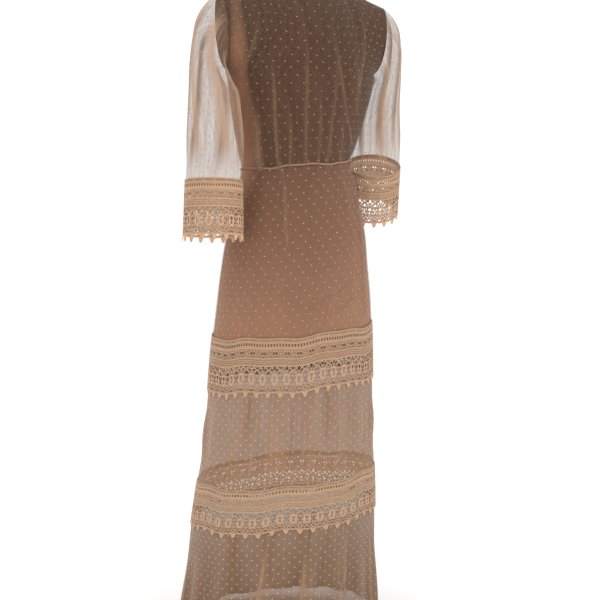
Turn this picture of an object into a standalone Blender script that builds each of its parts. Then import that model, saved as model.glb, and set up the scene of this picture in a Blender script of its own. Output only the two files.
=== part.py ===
"""Lace dress: dotted net over a blush slip lining, with guipure lace bands and cuffs.

Metres, +Z up. The dress keeps its worn form. The front faces -Y and the wearer's left is +X.
The origin is where the dress hangs from the shoulders, level with the sides of the neck.
Heights in the tables are measured from the waist seam, up being positive.
"""

import math
from collections import namedtuple

import bmesh
import bpy
from mathutils import Vector

# Cloth
NET_WALL = 0.0012
LINING_WALL = 0.0012
LACE_WALL = 0.0016
SEAM = 0.0003  # gap that parts two sewn pieces
LINING_SINK = NET_WALL + 0.0013  # from the net's outer face to the lining's outer face
LACE_PROUD = 0.0022  # from the net's outer face to the lace's outer face
LACE_LAP = 0.012  # how far net reaches behind the edge of the lace

# Lengths
WAIST = -0.425  # the waist seam, below the origin
HEM = -1.078
LINING_HEM = -0.443
UNDERARM = 0.215
SHOULDER = 0.378
NECK_SIDE = 0.425

# Bodice above the underarm
SHOULDER_HALF = 0.200
SHOULDER_SHARE = 0.25  # of a panel's columns, on each side of the neck
NECK_HALF = 0.085
NECK_CURVE = 1.3  # over 1, the neckline crosses the shoulder softly
NECK_TRIM = 0.08  # of a cell, cut off the lining's neck edge
UPPER_SHIFT = -0.013
BLADE_SWELL = 0.012  # extra roundness of the upper back and chest
ARMHOLE_FADE = 3  # how fast the armhole's curve dies away into the panel
Panel = namedtuple("Panel", "name sign start neck_depth neck_drop armhole_depth")
BACK = Panel("back", 1, 0.0, 0.055, 0.020, 0.060)
FRONT = Panel("front", -1, math.pi, 0.075, 0.080, 0.064)

# Mesh
BODY_COLUMNS = 32
REPEATS = 44  # lace repeats round the skirt
TIER_COLUMNS = 2 * REPEATS
CUFF_REPEATS = 16
ARMHOLE_ROWS = CUFF_REPEATS // 2

# Body and skirt, from the hem up. Rise is the slope of the level line across the figure.
Section = namedtuple("Section", "height half_width back front shift_x rise")
SECTIONS = (
    Section(-1.078, 0.232, 0.190, 0.192, 0.045, -0.050),
    Section(-0.960, 0.228, 0.185, 0.187, 0.038, -0.060),
    Section(-0.858, 0.224, 0.178, 0.180, 0.033, -0.066),
    Section(-0.752, 0.217, 0.169, 0.171, 0.026, -0.070),
    Section(-0.650, 0.206, 0.159, 0.161, 0.019, -0.070),
    Section(-0.533, 0.199, 0.154, 0.153, 0.014, -0.070),
    Section(-0.416, 0.194, 0.148, 0.142, 0.010, -0.070),
    Section(-0.320, 0.186, 0.143, 0.129, 0.006, -0.070),
    Section(-0.247, 0.178, 0.140, 0.121, 0.005, -0.070),
    Section(-0.176, 0.169, 0.133, 0.114, 0.002, -0.070),
    Section(-0.117, 0.157, 0.122, 0.108, 0.001, -0.070),
    Section(-0.047, 0.141, 0.106, 0.102, 0.000, -0.070),
    Section(0.000, 0.130, 0.093, 0.097, 0.000, -0.070),
    Section(0.030, 0.139, 0.098, 0.103, -0.003, -0.060),
    Section(0.085, 0.154, 0.106, 0.114, -0.007, -0.040),
    Section(0.165, 0.171, 0.113, 0.125, -0.012, -0.010),
    Section(0.215, 0.177, 0.114, 0.126, -0.013, 0.010),
    Section(0.378, 0.200, 0.090, 0.090, -0.013, 0.045),
    Section(0.460, 0.200, 0.090, 0.090, -0.013, 0.045),
)

# How far the skirt's folds stand out at each height: none at a seam
FoldDepth = namedtuple("FoldDepth", "height depth")
FOLD_DEPTHS = (
    FoldDepth(-1.078, 0.018),
    FoldDepth(-0.831, 0.000),
    FoldDepth(-0.713, 0.000),
    FoldDepth(-0.605, 0.008),
    FoldDepth(-0.521, 0.000),
    FoldDepth(-0.300, 0.000),
    FoldDepth(-0.117, 0.003),
    FoldDepth(-0.047, 0.002),
    FoldDepth(0.000, 0.000),
)
SKIRT_FOLDS = 16

# Gathers drawn up from the waist, eight to a panel, from its first side seam to its second
Gather = namedtuple("Gather", "depth top")
GATHERS = {
    "back": (
        Gather(0.004, 0.10),
        Gather(0.006, 0.20),
        Gather(0.009, 0.27),
        Gather(0.006, 0.22),
        Gather(0.008, 0.30),
        Gather(0.009, 0.30),
        Gather(0.007, 0.24),
        Gather(0.004, 0.12),
    ),
    "front": (
        Gather(0.004, 0.10),
        Gather(0.007, 0.16),
        Gather(0.009, 0.20),
        Gather(0.007, 0.24),
        Gather(0.008, 0.24),
        Gather(0.009, 0.20),
        Gather(0.006, 0.16),
        Gather(0.004, 0.10),
    ),
}
GATHER_FOOT = 0.006  # above the waist seam

# Lace bands of the skirt: tops and tips
Band = namedtuple("Band", "name top tip")
UPPER_BAND = Band("band_upper", -0.382, -0.517)
LOWER_BAND = Band("band_lower", -0.720, -0.827)

# The two largest gaps of a lace repeat, as shares of the repeat's width and the lace's height
Gap = namedtuple("Gap", "down half_width half_height")
GAPS = (Gap(0.33, 0.14, 0.032), Gap(0.62, 0.17, 0.042))
LACE_MIDDLE = 0.47
LACE_ROOT = 0.91  # where the pointed picots begin

# Sleeves, as rings round the arm from the upper arm to the tips of the cuff
Ring = namedtuple("Ring", "x y height across along")
SLEEVES = {
    "left": (
        Ring(0.211, 0.066, 0.150, 0.054, 0.056),
        Ring(0.213, 0.080, 0.060, 0.060, 0.061),
        Ring(0.218, 0.085, -0.035, 0.063, 0.064),
        Ring(0.224, 0.099, -0.170, 0.066, 0.067),
    ),
    "right": (
        Ring(-0.221, -0.050, 0.150, 0.050, 0.056),
        Ring(-0.212, -0.044, 0.080, 0.058, 0.060),
        Ring(-0.213, -0.050, 0.000, 0.063, 0.064),
        Ring(-0.225, -0.105, -0.122, 0.066, 0.067),
    ),
}
ARM_SIGN = {"left": 1, "right": -1}
SLEEVE_HEAD_STEPS = (0.0, 0.16, 0.38, 0.68, 1.0)
SHOULDER_LEAVE = Vector((0.80, 0.0, -0.60))  # how the cloth leaves the armhole, on the left
UNDERARM_LEAVE = Vector((0.80, 0.0, -0.40))

SLEEVE_STAND = 0.0009  # off the armhole's edge, whose wall leans

# Trims
CASING_HALF = 0.0045
CASING_WALL = 0.0015
CASING_STAND = 0.0015  # off the waist curve, over the gathers on both sides of the seam
BINDING_HEIGHT = 0.008
BINDING_STAND = 0.0021  # above the edges it binds, whose walls lean
BINDING_WALL = LINING_SINK + LINING_WALL

COLOURS = {
    "net": (0.80, 0.66, 0.54, 1.0),
    "lining": (0.72, 0.50, 0.40, 1.0),
    "lace": (0.86, 0.76, 0.62, 1.0),
    "trim": (0.84, 0.70, 0.57, 1.0),
}


def new_collection():
    for piece in list(bpy.data.objects):
        bpy.data.objects.remove(piece, do_unlink=True)
    collection = bpy.data.collections.new("lace_dress")
    bpy.context.scene.collection.children.link(collection)
    return collection


def cloth_material(name):
    material = bpy.data.materials.new(name)
    material.use_nodes = True
    shader = material.node_tree.nodes["Principled BSDF"]
    shader.inputs["Base Color"].default_value = COLOURS[name]
    shader.inputs["Roughness"].default_value = 0.9
    shader.inputs["Metallic"].default_value = 0.0
    return material


def mix(first, second, share):
    return first + (second - first) * share


def section_at(height):
    """The section at any height: a smooth curve through SECTIONS, column by column."""
    last = len(SECTIONS) - 2
    low = max(i for i in range(last + 1) if SECTIONS[i].height <= height or i == 0)
    share = (height - SECTIONS[low].height) / (SECTIONS[low + 1].height - SECTIONS[low].height)
    share = min(1.0, max(0.0, share))

    def slope(row, column):
        before = SECTIONS[max(row - 1, 0)]
        after = SECTIONS[min(row + 1, last + 1)]
        return (after[column] - before[column]) / (after.height - before.height)

    def blend(column):
        step = SECTIONS[low + 1].height - SECTIONS[low].height
        start, end = SECTIONS[low][column], SECTIONS[low + 1][column]
        keep = 2 * share**3 - 3 * share**2 + 1
        leave = (share**3 - 2 * share**2 + share) * step * slope(low, column)
        arrive = (share**3 - share**2) * step * slope(low + 1, column)
        return keep * start + leave + (1 - keep) * end + arrive

    return Section(*(blend(column) for column in range(len(Section._fields))))


def placed(x, y, height):
    """A point of the figure in the dress's own frame, with the level line's slope."""
    return Vector((x, y, WAIST + height + section_at(height).rise * x))


def body_point(angle, height, proud=0.0):
    """A point of the net's outer face, at an angle from the wearer's left side towards the back."""
    section = section_at(height)
    depth = section.back if math.sin(angle) >= 0 else section.front
    across = Vector((math.cos(angle) / section.half_width, math.sin(angle) / depth, 0)).normalized()
    x = section.shift_x + section.half_width * math.cos(angle) + across.x * proud
    return placed(x, depth * math.sin(angle) + across.y * proud, height)


def fold_depth(height):
    """How deep the skirt's folds are at a height, read from FOLD_DEPTHS."""
    for low, high in zip(FOLD_DEPTHS, FOLD_DEPTHS[1:]):
        if low.height <= height <= high.height:
            return mix(low.depth, high.depth, (height - low.height) / (high.height - low.height))
    return 0.0


def fold_shape(angle):
    """The soft, uneven folds round the skirt, from 0 in a valley to 1 on a crest."""
    wave = math.cos(SKIRT_FOLDS * angle + 1.3 * math.sin(3 * angle) + 0.6)
    return (0.5 + 0.5 * wave) ** 1.5 * (0.75 + 0.25 * math.sin(5 * angle + 1.0))


def skirt_row(height, columns):
    """One row of a skirt tier. Columns between the lace's own lie flat between them at a seam."""
    depth = fold_depth(height)
    angles = [2 * math.pi * column / columns for column in range(columns)]
    if depth == 0 and columns > REPEATS:
        even = [body_point(angle, height) for angle in angles[::2]]
        between = [(a + b) / 2 for a, b in zip(even, even[1:] + even[:1])]
        return [point for pair in zip(even, between) for point in pair]
    return [body_point(angle, height, depth * fold_shape(angle)) for angle in angles]


def skirt_lining_row(height):
    """One row of the slip lining under the skirt, which has no folds."""
    return [body_point(2 * math.pi * column / BODY_COLUMNS, height) for column in range(BODY_COLUMNS)]


def armhole_point(arm, panel, share):
    """A point on one panel's armhole edge, from the underarm (0) to the shoulder (1)."""
    underarm = section_at(UNDERARM)
    sign = ARM_SIGN[arm]
    x = mix(underarm.shift_x + sign * underarm.half_width, UPPER_SHIFT + sign * SHOULDER_HALF, share)
    y = panel.sign * panel.armhole_depth * math.sin(math.pi * share)
    height = mix(UNDERARM, SHOULDER, (1 - math.cos(math.pi * share)) / 2)
    return placed(x, y, height)


def top_point(panel, share):
    """A point on a panel's top edge: shoulder, neckline, shoulder."""
    side = panel.sign if share <= 0.5 else -panel.sign
    share = min(share, 1 - share)
    if share <= SHOULDER_SHARE:
        along = share / SHOULDER_SHARE
        x = mix(SHOULDER_HALF, NECK_HALF, along)
        y = 0.0
        height = mix(SHOULDER, NECK_SIDE, along)
    else:
        turn = math.pi * (share - SHOULDER_SHARE) / (1 - 2 * SHOULDER_SHARE)
        x = NECK_HALF * math.cos(turn)
        y = panel.neck_depth * math.sin(turn)
        height = NECK_SIDE - panel.neck_drop * math.sin(turn) ** NECK_CURVE
    return placed(UPPER_SHIFT + side * x, panel.sign * y, height)


def yoke_point(panel, share, rise, lift=0.0):
    """A panel above the underarm: between its lower row, its top edge and its two armholes."""
    arms = ("left", "right") if panel is BACK else ("right", "left")
    angle = panel.start + math.pi * share
    lower = body_point(angle, UNDERARM)
    point = mix(lower, top_point(panel, share), rise) + body_point(angle, UNDERARM, lift) - lower
    for arm, away in zip(arms, (share, 1 - share)):
        edge = armhole_point(arm, panel, rise)
        straight = mix(armhole_point(arm, panel, 0), armhole_point(arm, panel, 1), rise)
        point += (edge - straight) * (1 - away) ** ARMHOLE_FADE
    swell = BLADE_SWELL * math.sin(math.pi * rise) * math.sin(math.pi * share)
    return point + Vector((0, panel.sign * swell, 0))


def gather_at(panel, column, height):
    """How far a gather lifts the net: every other column of a panel is the crest of one."""
    if column % 2 == 0 or height <= GATHER_FOOT:
        return 0.0
    gather = GATHERS[panel.name][column // 2]
    return gather.depth * max(0.0, 1 - height / gather.top) ** 0.5


def add_grid(surface, rows, closed, flip=False):
    """Add a sheet of four-sided faces through rows of points."""
    corners = [[surface.verts.new(point) for point in row] for row in rows]
    count = len(rows[0])
    for low, high in zip(corners, corners[1:]):
        for column in range(count if closed else count - 1):
            beside = (column + 1) % count
            face = [low[column], low[beside], high[beside], high[column]]
            surface.faces.new(face[::-1] if flip else face)


def trim_neck(yoke):
    """Cut a panel's neck edge back along its own cloth, to end inside the binding."""
    top, below = yoke[-1], yoke[-2]
    first, last = neck_columns()
    top[first] = mix(top[first], top[first - 1], NECK_TRIM)
    top[last] = mix(top[last], top[last + 1], NECK_TRIM)
    for column in range(first + 1, last):
        top[column] = mix(top[column], below[column], NECK_TRIM)


def neck_columns():
    """The columns at a panel's two neck sides."""
    half = BODY_COLUMNS // 2
    return round(half * SHOULDER_SHARE), round(half * (1 - SHOULDER_SHARE))


def bodice_surface(gathered, lowest_rows):
    """The bodice's open surface, with its front and back joined at the sides and shoulders."""
    half = BODY_COLUMNS // 2
    surface = bmesh.new()
    rows = []
    for height in lowest_rows:
        row = []
        for panel in (BACK, FRONT):
            for column in range(half):
                lift = gather_at(panel, column, height) if gathered else 0.0
                row.append(body_point(panel.start + math.pi * column / half, height, lift))
        rows.append(row)
    add_grid(surface, rows, closed=True)
    for panel in (BACK, FRONT):
        yoke = []
        for step in range(ARMHOLE_ROWS + 1):
            row = []
            for column in range(half + 1):
                height = mix(UNDERARM, NECK_SIDE, step / ARMHOLE_ROWS)
                lift = gather_at(panel, column, height) if gathered else 0.0
                row.append(yoke_point(panel, column / half, step / ARMHOLE_ROWS, lift))
            yoke.append(row)
        if not gathered:
            trim_neck(yoke)
        add_grid(surface, yoke, closed=False)
    bmesh.ops.remove_doubles(surface, verts=surface.verts, dist=1e-5)
    return surface


def lace_surface(point_at, repeats):
    """Lace with its two largest gaps and a pointed picot to each repeat.

    point_at takes a place along the lace, counted in repeats, and a share of its height, downwards.
    """
    surface = bmesh.new()
    known = {}

    def corner(along, down):
        key = (round(along % repeats, 4), round(down, 4))
        if key not in known:
            known[key] = surface.verts.new(point_at(*key))
        return known[key]

    for repeat in range(repeats):
        middle = repeat + 0.5
        upper = [corner(repeat, 0), corner(repeat, LACE_MIDDLE), corner(repeat + 1, LACE_MIDDLE),
                 corner(repeat + 1, 0)]
        lower = [corner(repeat, LACE_MIDDLE), corner(repeat, LACE_ROOT), corner(middle, 1.0),
                 corner(repeat + 1, LACE_ROOT), corner(repeat + 1, LACE_MIDDLE)]
        for rim, gap in zip((upper, lower), GAPS):
            hole = [corner(middle - gap.half_width, gap.down),
                    corner(middle, gap.down + gap.half_height),
                    corner(middle + gap.half_width, gap.down),
                    corner(middle, gap.down - gap.half_height)]
            ring_of_faces(surface, rim, hole)
    return surface


def ring_of_faces(surface, rim, hole):
    """Fill between a rim and the four-sided hole in it. Both start at the upper left or left."""
    left, bottom, right, top = hole
    surface.faces.new((rim[0], left, top))
    surface.faces.new((rim[0], rim[1], left))
    surface.faces.new((rim[1], bottom, left))
    if len(rim) == 5:
        surface.faces.new((rim[1], rim[2], bottom))
        surface.faces.new((rim[2], rim[3], bottom))
    else:
        surface.faces.new((rim[1], rim[2], bottom))
    surface.faces.new((rim[-2], right, bottom))
    surface.faces.new((rim[-2], rim[-1], right))
    surface.faces.new((rim[-1], top, right))
    surface.faces.new((rim[-1], rim[0], top))


def shell(collection, name, surface, wall, material, sink=0.0):
    """Give an open surface its wall, grown inwards from `sink` under the surface."""
    mesh = bpy.data.meshes.new(name)
    surface.to_mesh(mesh)
    surface.free()
    mesh.materials.append(material)
    piece = bpy.data.objects.new(name, mesh)
    collection.objects.link(piece)
    solidify = piece.modifiers.new("Wall", "SOLIDIFY")
    solidify.thickness = wall
    solidify.offset = -1 - 2 * sink / wall
    return piece


def part_in_two(collection, piece, centre, normal):
    """Cut a sewn tube along its two side seams into a back and a front piece."""
    graph = bpy.context.evaluated_depsgraph_get()
    whole = bpy.data.meshes.new_from_object(piece.evaluated_get(graph))
    for panel in (BACK, FRONT):
        half = bmesh.new()
        half.from_mesh(whole)
        everything = half.verts[:] + half.edges[:] + half.faces[:]
        face = centre + normal * panel.sign * SEAM / 2
        bmesh.ops.bisect_plane(half, geom=everything, plane_co=face, plane_no=normal * -panel.sign,
                               clear_outer=True, dist=1e-7)
        rims = [edge for edge in half.edges if edge.is_boundary]
        bmesh.ops.holes_fill(half, edges=rims, sides=0)
        mesh = bpy.data.meshes.new(f"{piece.name}_{panel.name}")
        half.to_mesh(mesh)
        half.free()
        collection.objects.link(bpy.data.objects.new(mesh.name, mesh))
    bpy.data.meshes.remove(whole)
    bpy.data.objects.remove(piece, do_unlink=True)


def make_body(collection, materials):
    """The bodice, the lining and the net tiers, each in a back and a front piece."""
    side_seams = (Vector((0, 0, 0)), Vector((0, 1, 0)))
    bodice_rows = (SEAM / 2, GATHER_FOOT, 0.030, 0.085, 0.150, UNDERARM)
    bodice = bodice_surface(gathered=True, lowest_rows=bodice_rows)
    lining_bodice = bodice_surface(gathered=False, lowest_rows=bodice_rows)
    lining_skirt = bmesh.new()
    lining_rows = (LINING_HEM, -0.340, -0.200, -0.117, -0.047, -SEAM / 2)
    add_grid(lining_skirt, [skirt_lining_row(height) for height in lining_rows], closed=True)
    upper_foot = UPPER_BAND.top - LACE_LAP
    middle_top = mix(UPPER_BAND.top, UPPER_BAND.tip, LACE_ROOT) + LACE_LAP
    middle_foot = LOWER_BAND.top - LACE_LAP
    lower_top = mix(LOWER_BAND.top, LOWER_BAND.tip, LACE_ROOT) + LACE_LAP
    tiers = {
        "skirt_upper": (REPEATS, (upper_foot, -0.300, -0.200, -0.117, -0.047, -SEAM / 2)),
        "skirt_middle": (TIER_COLUMNS, (middle_foot, -0.713, -0.605, -0.521, middle_top)),
        "skirt_lower": (TIER_COLUMNS, (HEM, -0.831, lower_top)),
    }
    pieces = [
        shell(collection, "bodice", bodice, NET_WALL, materials["net"]),
        shell(collection, "lining_bodice", lining_bodice, LINING_WALL, materials["lining"], LINING_SINK),
        shell(collection, "lining_skirt", lining_skirt, LINING_WALL, materials["lining"], LINING_SINK),
    ]
    for name, (columns, heights) in tiers.items():
        surface = bmesh.new()
        add_grid(surface, [skirt_row(height, columns) for height in heights], closed=True)
        pieces.append(shell(collection, name, surface, NET_WALL, materials["net"]))
    for piece in pieces:
        part_in_two(collection, piece, *side_seams)


def make_bands(collection, materials):
    """The two lace bands of the skirt."""
    for band in (UPPER_BAND, LOWER_BAND):

        def band_point(along, down):
            low = math.floor(along)
            ends = [body_point(2 * math.pi * column / REPEATS, mix(band.top, band.tip, down), LACE_PROUD)
                    for column in (low, low + 1)]
            return mix(ends[0], ends[1], along - low)

        surface = lace_surface(band_point, REPEATS)
        piece = shell(collection, band.name, surface, LACE_WALL, materials["lace"])
        part_in_two(collection, piece, Vector((0, 0, 0)), Vector((0, 1, 0)))


def cuff_axes(arm):
    """A cuff's axis, its outward direction and its backward direction."""
    top, tip = SLEEVES[arm][2:]
    axis = Vector((tip.x - top.x, tip.y - top.y, tip.height - top.height)).normalized()
    outward = Vector((ARM_SIGN[arm], 0, 0))
    outward = (outward - axis * outward.dot(axis)).normalized()
    backward = outward.cross(axis) * ARM_SIGN[arm]
    return axis, outward, backward


def ring_point(arm, ring, angle, proud=0.0):
    """A point of a sleeve ring, at an angle from its outer side towards the back."""
    _, outward, backward = cuff_axes(arm)
    centre = Vector((ring.x, ring.y, WAIST + ring.height))
    across = outward * math.cos(angle) * (ring.across + proud)
    return centre + across + backward * math.sin(angle) * (ring.along + proud)


def sleeve_rows(arm):
    """Rows of a sleeve, from the armhole down to the net behind the cuff's edge."""
    sign = ARM_SIGN[arm]
    upper, elbow, cuff, tip = SLEEVES[arm]
    rows = [[] for _ in SLEEVE_HEAD_STEPS]
    lower = [[], [], []]
    cuff_height = (Vector((cuff.x, cuff.y, cuff.height)) - Vector((tip.x, tip.y, tip.height))).length
    for column in range(CUFF_REPEATS):
        angle = 2 * math.pi * column / CUFF_REPEATS
        panel, share = (BACK, 1 - angle / math.pi) if angle <= math.pi else (FRONT, angle / math.pi - 1)
        start = armhole_point(arm, panel, share) + Vector((sign * SLEEVE_STAND, 0, 0))
        end = ring_point(arm, upper, angle)
        reach = (end - start).length
        leave = mix(UNDERARM_LEAVE, SHOULDER_LEAVE, (1 + math.cos(angle)) / 2) * reach
        leave.x *= sign
        arrive = (ring_point(arm, elbow, angle) - end).normalized() * reach
        for row, step in zip(rows, SLEEVE_HEAD_STEPS):
            keep = 2 * step**3 - 3 * step**2 + 1
            bend = leave * (step**3 - 2 * step**2 + step) + arrive * (step**3 - step**2)
            row.append(start * keep + end * (1 - keep) + bend)
        below = mix(ring_point(arm, cuff, angle), ring_point(arm, tip, angle), LACE_LAP / cuff_height)
        for row, point in zip(lower, (ring_point(arm, elbow, angle), ring_point(arm, cuff, angle), below)):
            row.append(point)
    return rows + lower


def make_sleeves(collection, materials):
    """Both sleeves, with their lace cuffs."""
    for arm, sign in ARM_SIGN.items():
        surface = bmesh.new()
        add_grid(surface, sleeve_rows(arm), closed=True, flip=sign > 0)
        shell(collection, f"sleeve_{arm}", surface, NET_WALL, materials["net"])
        top, tip = SLEEVES[arm][2:]

        def cuff_point(along, down):
            low = math.floor(along)
            ends = []
            for column in (low, low + 1):
                angle = sign * 2 * math.pi * column / CUFF_REPEATS
                ends.append(mix(ring_point(arm, top, angle, LACE_PROUD),
                                ring_point(arm, tip, angle, LACE_PROUD), down))
            return mix(ends[0], ends[1], along - low)

        surface = lace_surface(cuff_point, CUFF_REPEATS)
        piece = shell(collection, f"cuff_{arm}", surface, LACE_WALL, materials["lace"])
        backward = cuff_axes(arm)[2]
        part_in_two(collection, piece, ring_point(arm, top, 0), backward)


def make_trims(collection, materials):
    """The corded casing over the waist seam and the binding round the neck."""
    surface = bmesh.new()
    rows = []
    for height in (-CASING_HALF, CASING_HALF):
        rows.append([body_point(2 * math.pi * column / REPEATS, height, CASING_STAND + CASING_WALL)
                     for column in range(REPEATS)])
    add_grid(surface, rows, closed=True)
    shell(collection, "waist_casing", surface, CASING_WALL, materials["trim"])

    half = BODY_COLUMNS // 2
    first, last = neck_columns()
    edge, beyond = [], []
    for panel, columns in ((BACK, range(first, last)), (FRONT, range(first, last))):
        for column in columns:
            share = column / half
            point = yoke_point(panel, share, 1.0)
            below = yoke_point(panel, share, 1 - 1 / ARMHOLE_ROWS)
            if column == first:
                other = FRONT if panel is BACK else BACK
                below = (below + yoke_point(other, 1 - share, 1 - 1 / ARMHOLE_ROWS)) / 2
            away = (point - below).normalized()
            edge.append(point + away * BINDING_STAND)
            beyond.append(point + away * BINDING_HEIGHT)
    surface = bmesh.new()
    add_grid(surface, [edge, beyond], closed=True)
    shell(collection, "neck_binding", surface, BINDING_WALL, materials["trim"])


def main():
    collection = new_collection()
    materials = {name: cloth_material(name) for name in COLOURS}
    make_body(collection, materials)
    make_bands(collection, materials)
    make_sleeves(collection, materials)
    make_trims(collection, materials)


main()
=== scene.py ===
"""Lace dress, its looks: dotted net, a slip lining, guipure lace and trims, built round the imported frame.

Metres, +Z up. The front faces -Y and the dress's own left is +X. Heights are measured from the waist seam.
"""

import math
from collections import namedtuple
from functools import lru_cache

import bpy
from bpy.props import FloatProperty, FloatVectorProperty, IntProperty, PointerProperty
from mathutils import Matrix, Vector
from mathutils.geometry import delaunay_2d_cdt


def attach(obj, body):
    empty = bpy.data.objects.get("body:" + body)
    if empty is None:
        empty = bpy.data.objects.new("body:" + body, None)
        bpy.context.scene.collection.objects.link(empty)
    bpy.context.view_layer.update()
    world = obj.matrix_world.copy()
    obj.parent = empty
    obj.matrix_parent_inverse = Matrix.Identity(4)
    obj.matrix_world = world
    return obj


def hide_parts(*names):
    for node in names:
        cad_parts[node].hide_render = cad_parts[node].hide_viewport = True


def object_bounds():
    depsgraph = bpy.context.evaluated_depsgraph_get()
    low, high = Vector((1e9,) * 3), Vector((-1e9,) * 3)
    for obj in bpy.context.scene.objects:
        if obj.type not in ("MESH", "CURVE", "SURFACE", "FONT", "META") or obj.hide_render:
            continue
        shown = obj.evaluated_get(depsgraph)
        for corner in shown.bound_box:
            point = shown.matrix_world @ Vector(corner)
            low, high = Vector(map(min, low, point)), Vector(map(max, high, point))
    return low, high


bl_info = {
    "name": "Lace dress",
    "version": (1, 0, 0),
    "blender": (4, 5, 0),
    "location": "3D View > Sidebar > Lace dress",
    "description": "Dotted net, slip lining, guipure lace and trims of a long worn dress",
    "category": "Object",
}

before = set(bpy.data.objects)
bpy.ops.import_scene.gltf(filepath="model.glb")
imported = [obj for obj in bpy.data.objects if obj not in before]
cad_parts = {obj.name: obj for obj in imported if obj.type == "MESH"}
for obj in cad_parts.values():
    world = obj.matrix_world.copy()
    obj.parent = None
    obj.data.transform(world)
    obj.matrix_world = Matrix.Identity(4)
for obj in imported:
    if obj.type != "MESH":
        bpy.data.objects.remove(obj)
CAD_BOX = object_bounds()

MM = 0.001
TURN = 2 * math.pi

# Heights and half widths of the dress's edges
WAIST = -0.425
HEM = -1.078
LINING_HEM = -0.443
UNDERARM = 0.215
SHOULDER = 0.378
NECK_SIDE = 0.425
SHOULDER_HALF = 0.200
SHOULDER_SHARE = 0.25
NECK_HALF = 0.085
NECK_CURVE = 1.3
UPPER_SHIFT = -0.013
BLADE_SWELL = 0.012
ARMHOLE_FADE = 3
Panel = namedtuple("Panel", "name sign start neck_depth neck_drop armhole_depth")
BACK = Panel("back", 1, 0.0, 0.055, 0.020, 0.060)
FRONT = Panel("front", -1, math.pi, 0.075, 0.080, 0.064)
PANELS = (BACK, FRONT)

Section = namedtuple("Section", "height half_width back front shift_x rise")
SECTIONS = (
    Section(HEM, 0.232, 0.190, 0.192, 0.045, -0.050),
    Section(-0.960, 0.228, 0.185, 0.187, 0.038, -0.060),
    Section(-0.858, 0.224, 0.178, 0.180, 0.033, -0.066),
    Section(-0.752, 0.217, 0.169, 0.171, 0.026, -0.070),
    Section(-0.650, 0.206, 0.159, 0.161, 0.019, -0.070),
    Section(-0.533, 0.199, 0.154, 0.153, 0.014, -0.070),
    Section(-0.416, 0.194, 0.148, 0.142, 0.010, -0.070),
    Section(-0.320, 0.186, 0.143, 0.129, 0.006, -0.070),
    Section(-0.247, 0.178, 0.140, 0.121, 0.005, -0.070),
    Section(-0.176, 0.169, 0.133, 0.114, 0.002, -0.070),
    Section(-0.117, 0.157, 0.122, 0.108, 0.001, -0.070),
    Section(-0.047, 0.141, 0.106, 0.102, 0.000, -0.070),
    Section(0.000, 0.130, 0.093, 0.097, 0.000, -0.070),
    Section(0.030, 0.139, 0.098, 0.103, -0.003, -0.060),
    Section(0.085, 0.154, 0.106, 0.114, -0.007, -0.040),
    Section(0.165, 0.171, 0.113, 0.125, -0.012, -0.010),
    Section(UNDERARM, 0.177, 0.114, 0.126, UPPER_SHIFT, 0.010),
    Section(SHOULDER, SHOULDER_HALF, 0.090, 0.090, UPPER_SHIFT, 0.045),
    Section(0.460, SHOULDER_HALF, 0.090, 0.090, UPPER_SHIFT, 0.045),
)

# The skirt's soft folds, which die away at each seam
FoldDepth = namedtuple("FoldDepth", "height depth")
FOLD_DEPTHS = (
    FoldDepth(HEM, 0.018),
    FoldDepth(-0.831, 0.000),
    FoldDepth(-0.713, 0.000),
    FoldDepth(-0.605, 0.008),
    FoldDepth(-0.521, 0.000),
    FoldDepth(-0.300, 0.000),
    FoldDepth(-0.117, 0.003),
    FoldDepth(-0.047, 0.002),
    FoldDepth(0.000, 0.000),
)
SKIRT_FOLDS = 16

# Net tiers between the seams, with the net that laps behind the lace
LAP = 0.012
Tier = namedtuple("Tier", "name top foot columns rows across down")
DOT_ACROSS = 0.0266
DOT_DOWN = 0.0174
SHEER_DOT_ACROSS = 0.0225
SHEER_DOT_DOWN = 0.0109
TIERS = (
    Tier("skirt_upper", 0.0, -0.394, 140, 70, DOT_ACROSS, DOT_DOWN),
    Tier("skirt_middle", -0.4929, -0.732, 150, 36, SHEER_DOT_ACROSS, SHEER_DOT_DOWN),
    Tier("skirt_lower", -0.8054, HEM, 160, 44, SHEER_DOT_ACROSS, SHEER_DOT_DOWN),
)
BIAS = 0.37
BIAS_ROW_SHARE = 0.78

# Dots of the bodice and the sleeves, each row half a pitch along from the last
BODICE_DOT_ROWS = 24
BODICE_DOT_START = 0.035
BODICE_DOT_COLUMNS = 10
BODICE_ARC = 0.50
SLEEVE_DOT_ROWS = 26
SLEEVE_DOT_START = 0.03
SLEEVE_DOT_STEP = 0.0365
SLEEVE_DOT_COLUMNS = 14
SLEEVE_DOT_PITCH = 0.0150

# The form of a woven dot: a low dome with six sides
DOT_SIDES = 6
DOT_FLATNESS = 0.78
DOT_FOOT = 0.00005
DOT_TOP = 0.0005
DOT_STAND = 0.0001

# The lace: bands round the skirt and cuffs, with the same repeat
REPEATS = 44
CUFF_REPEATS = 16
Band = namedtuple("Band", "name top tip")
BANDS = (Band("band_upper", -0.382, -0.517), Band("band_lower", -0.720, -0.827))

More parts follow.
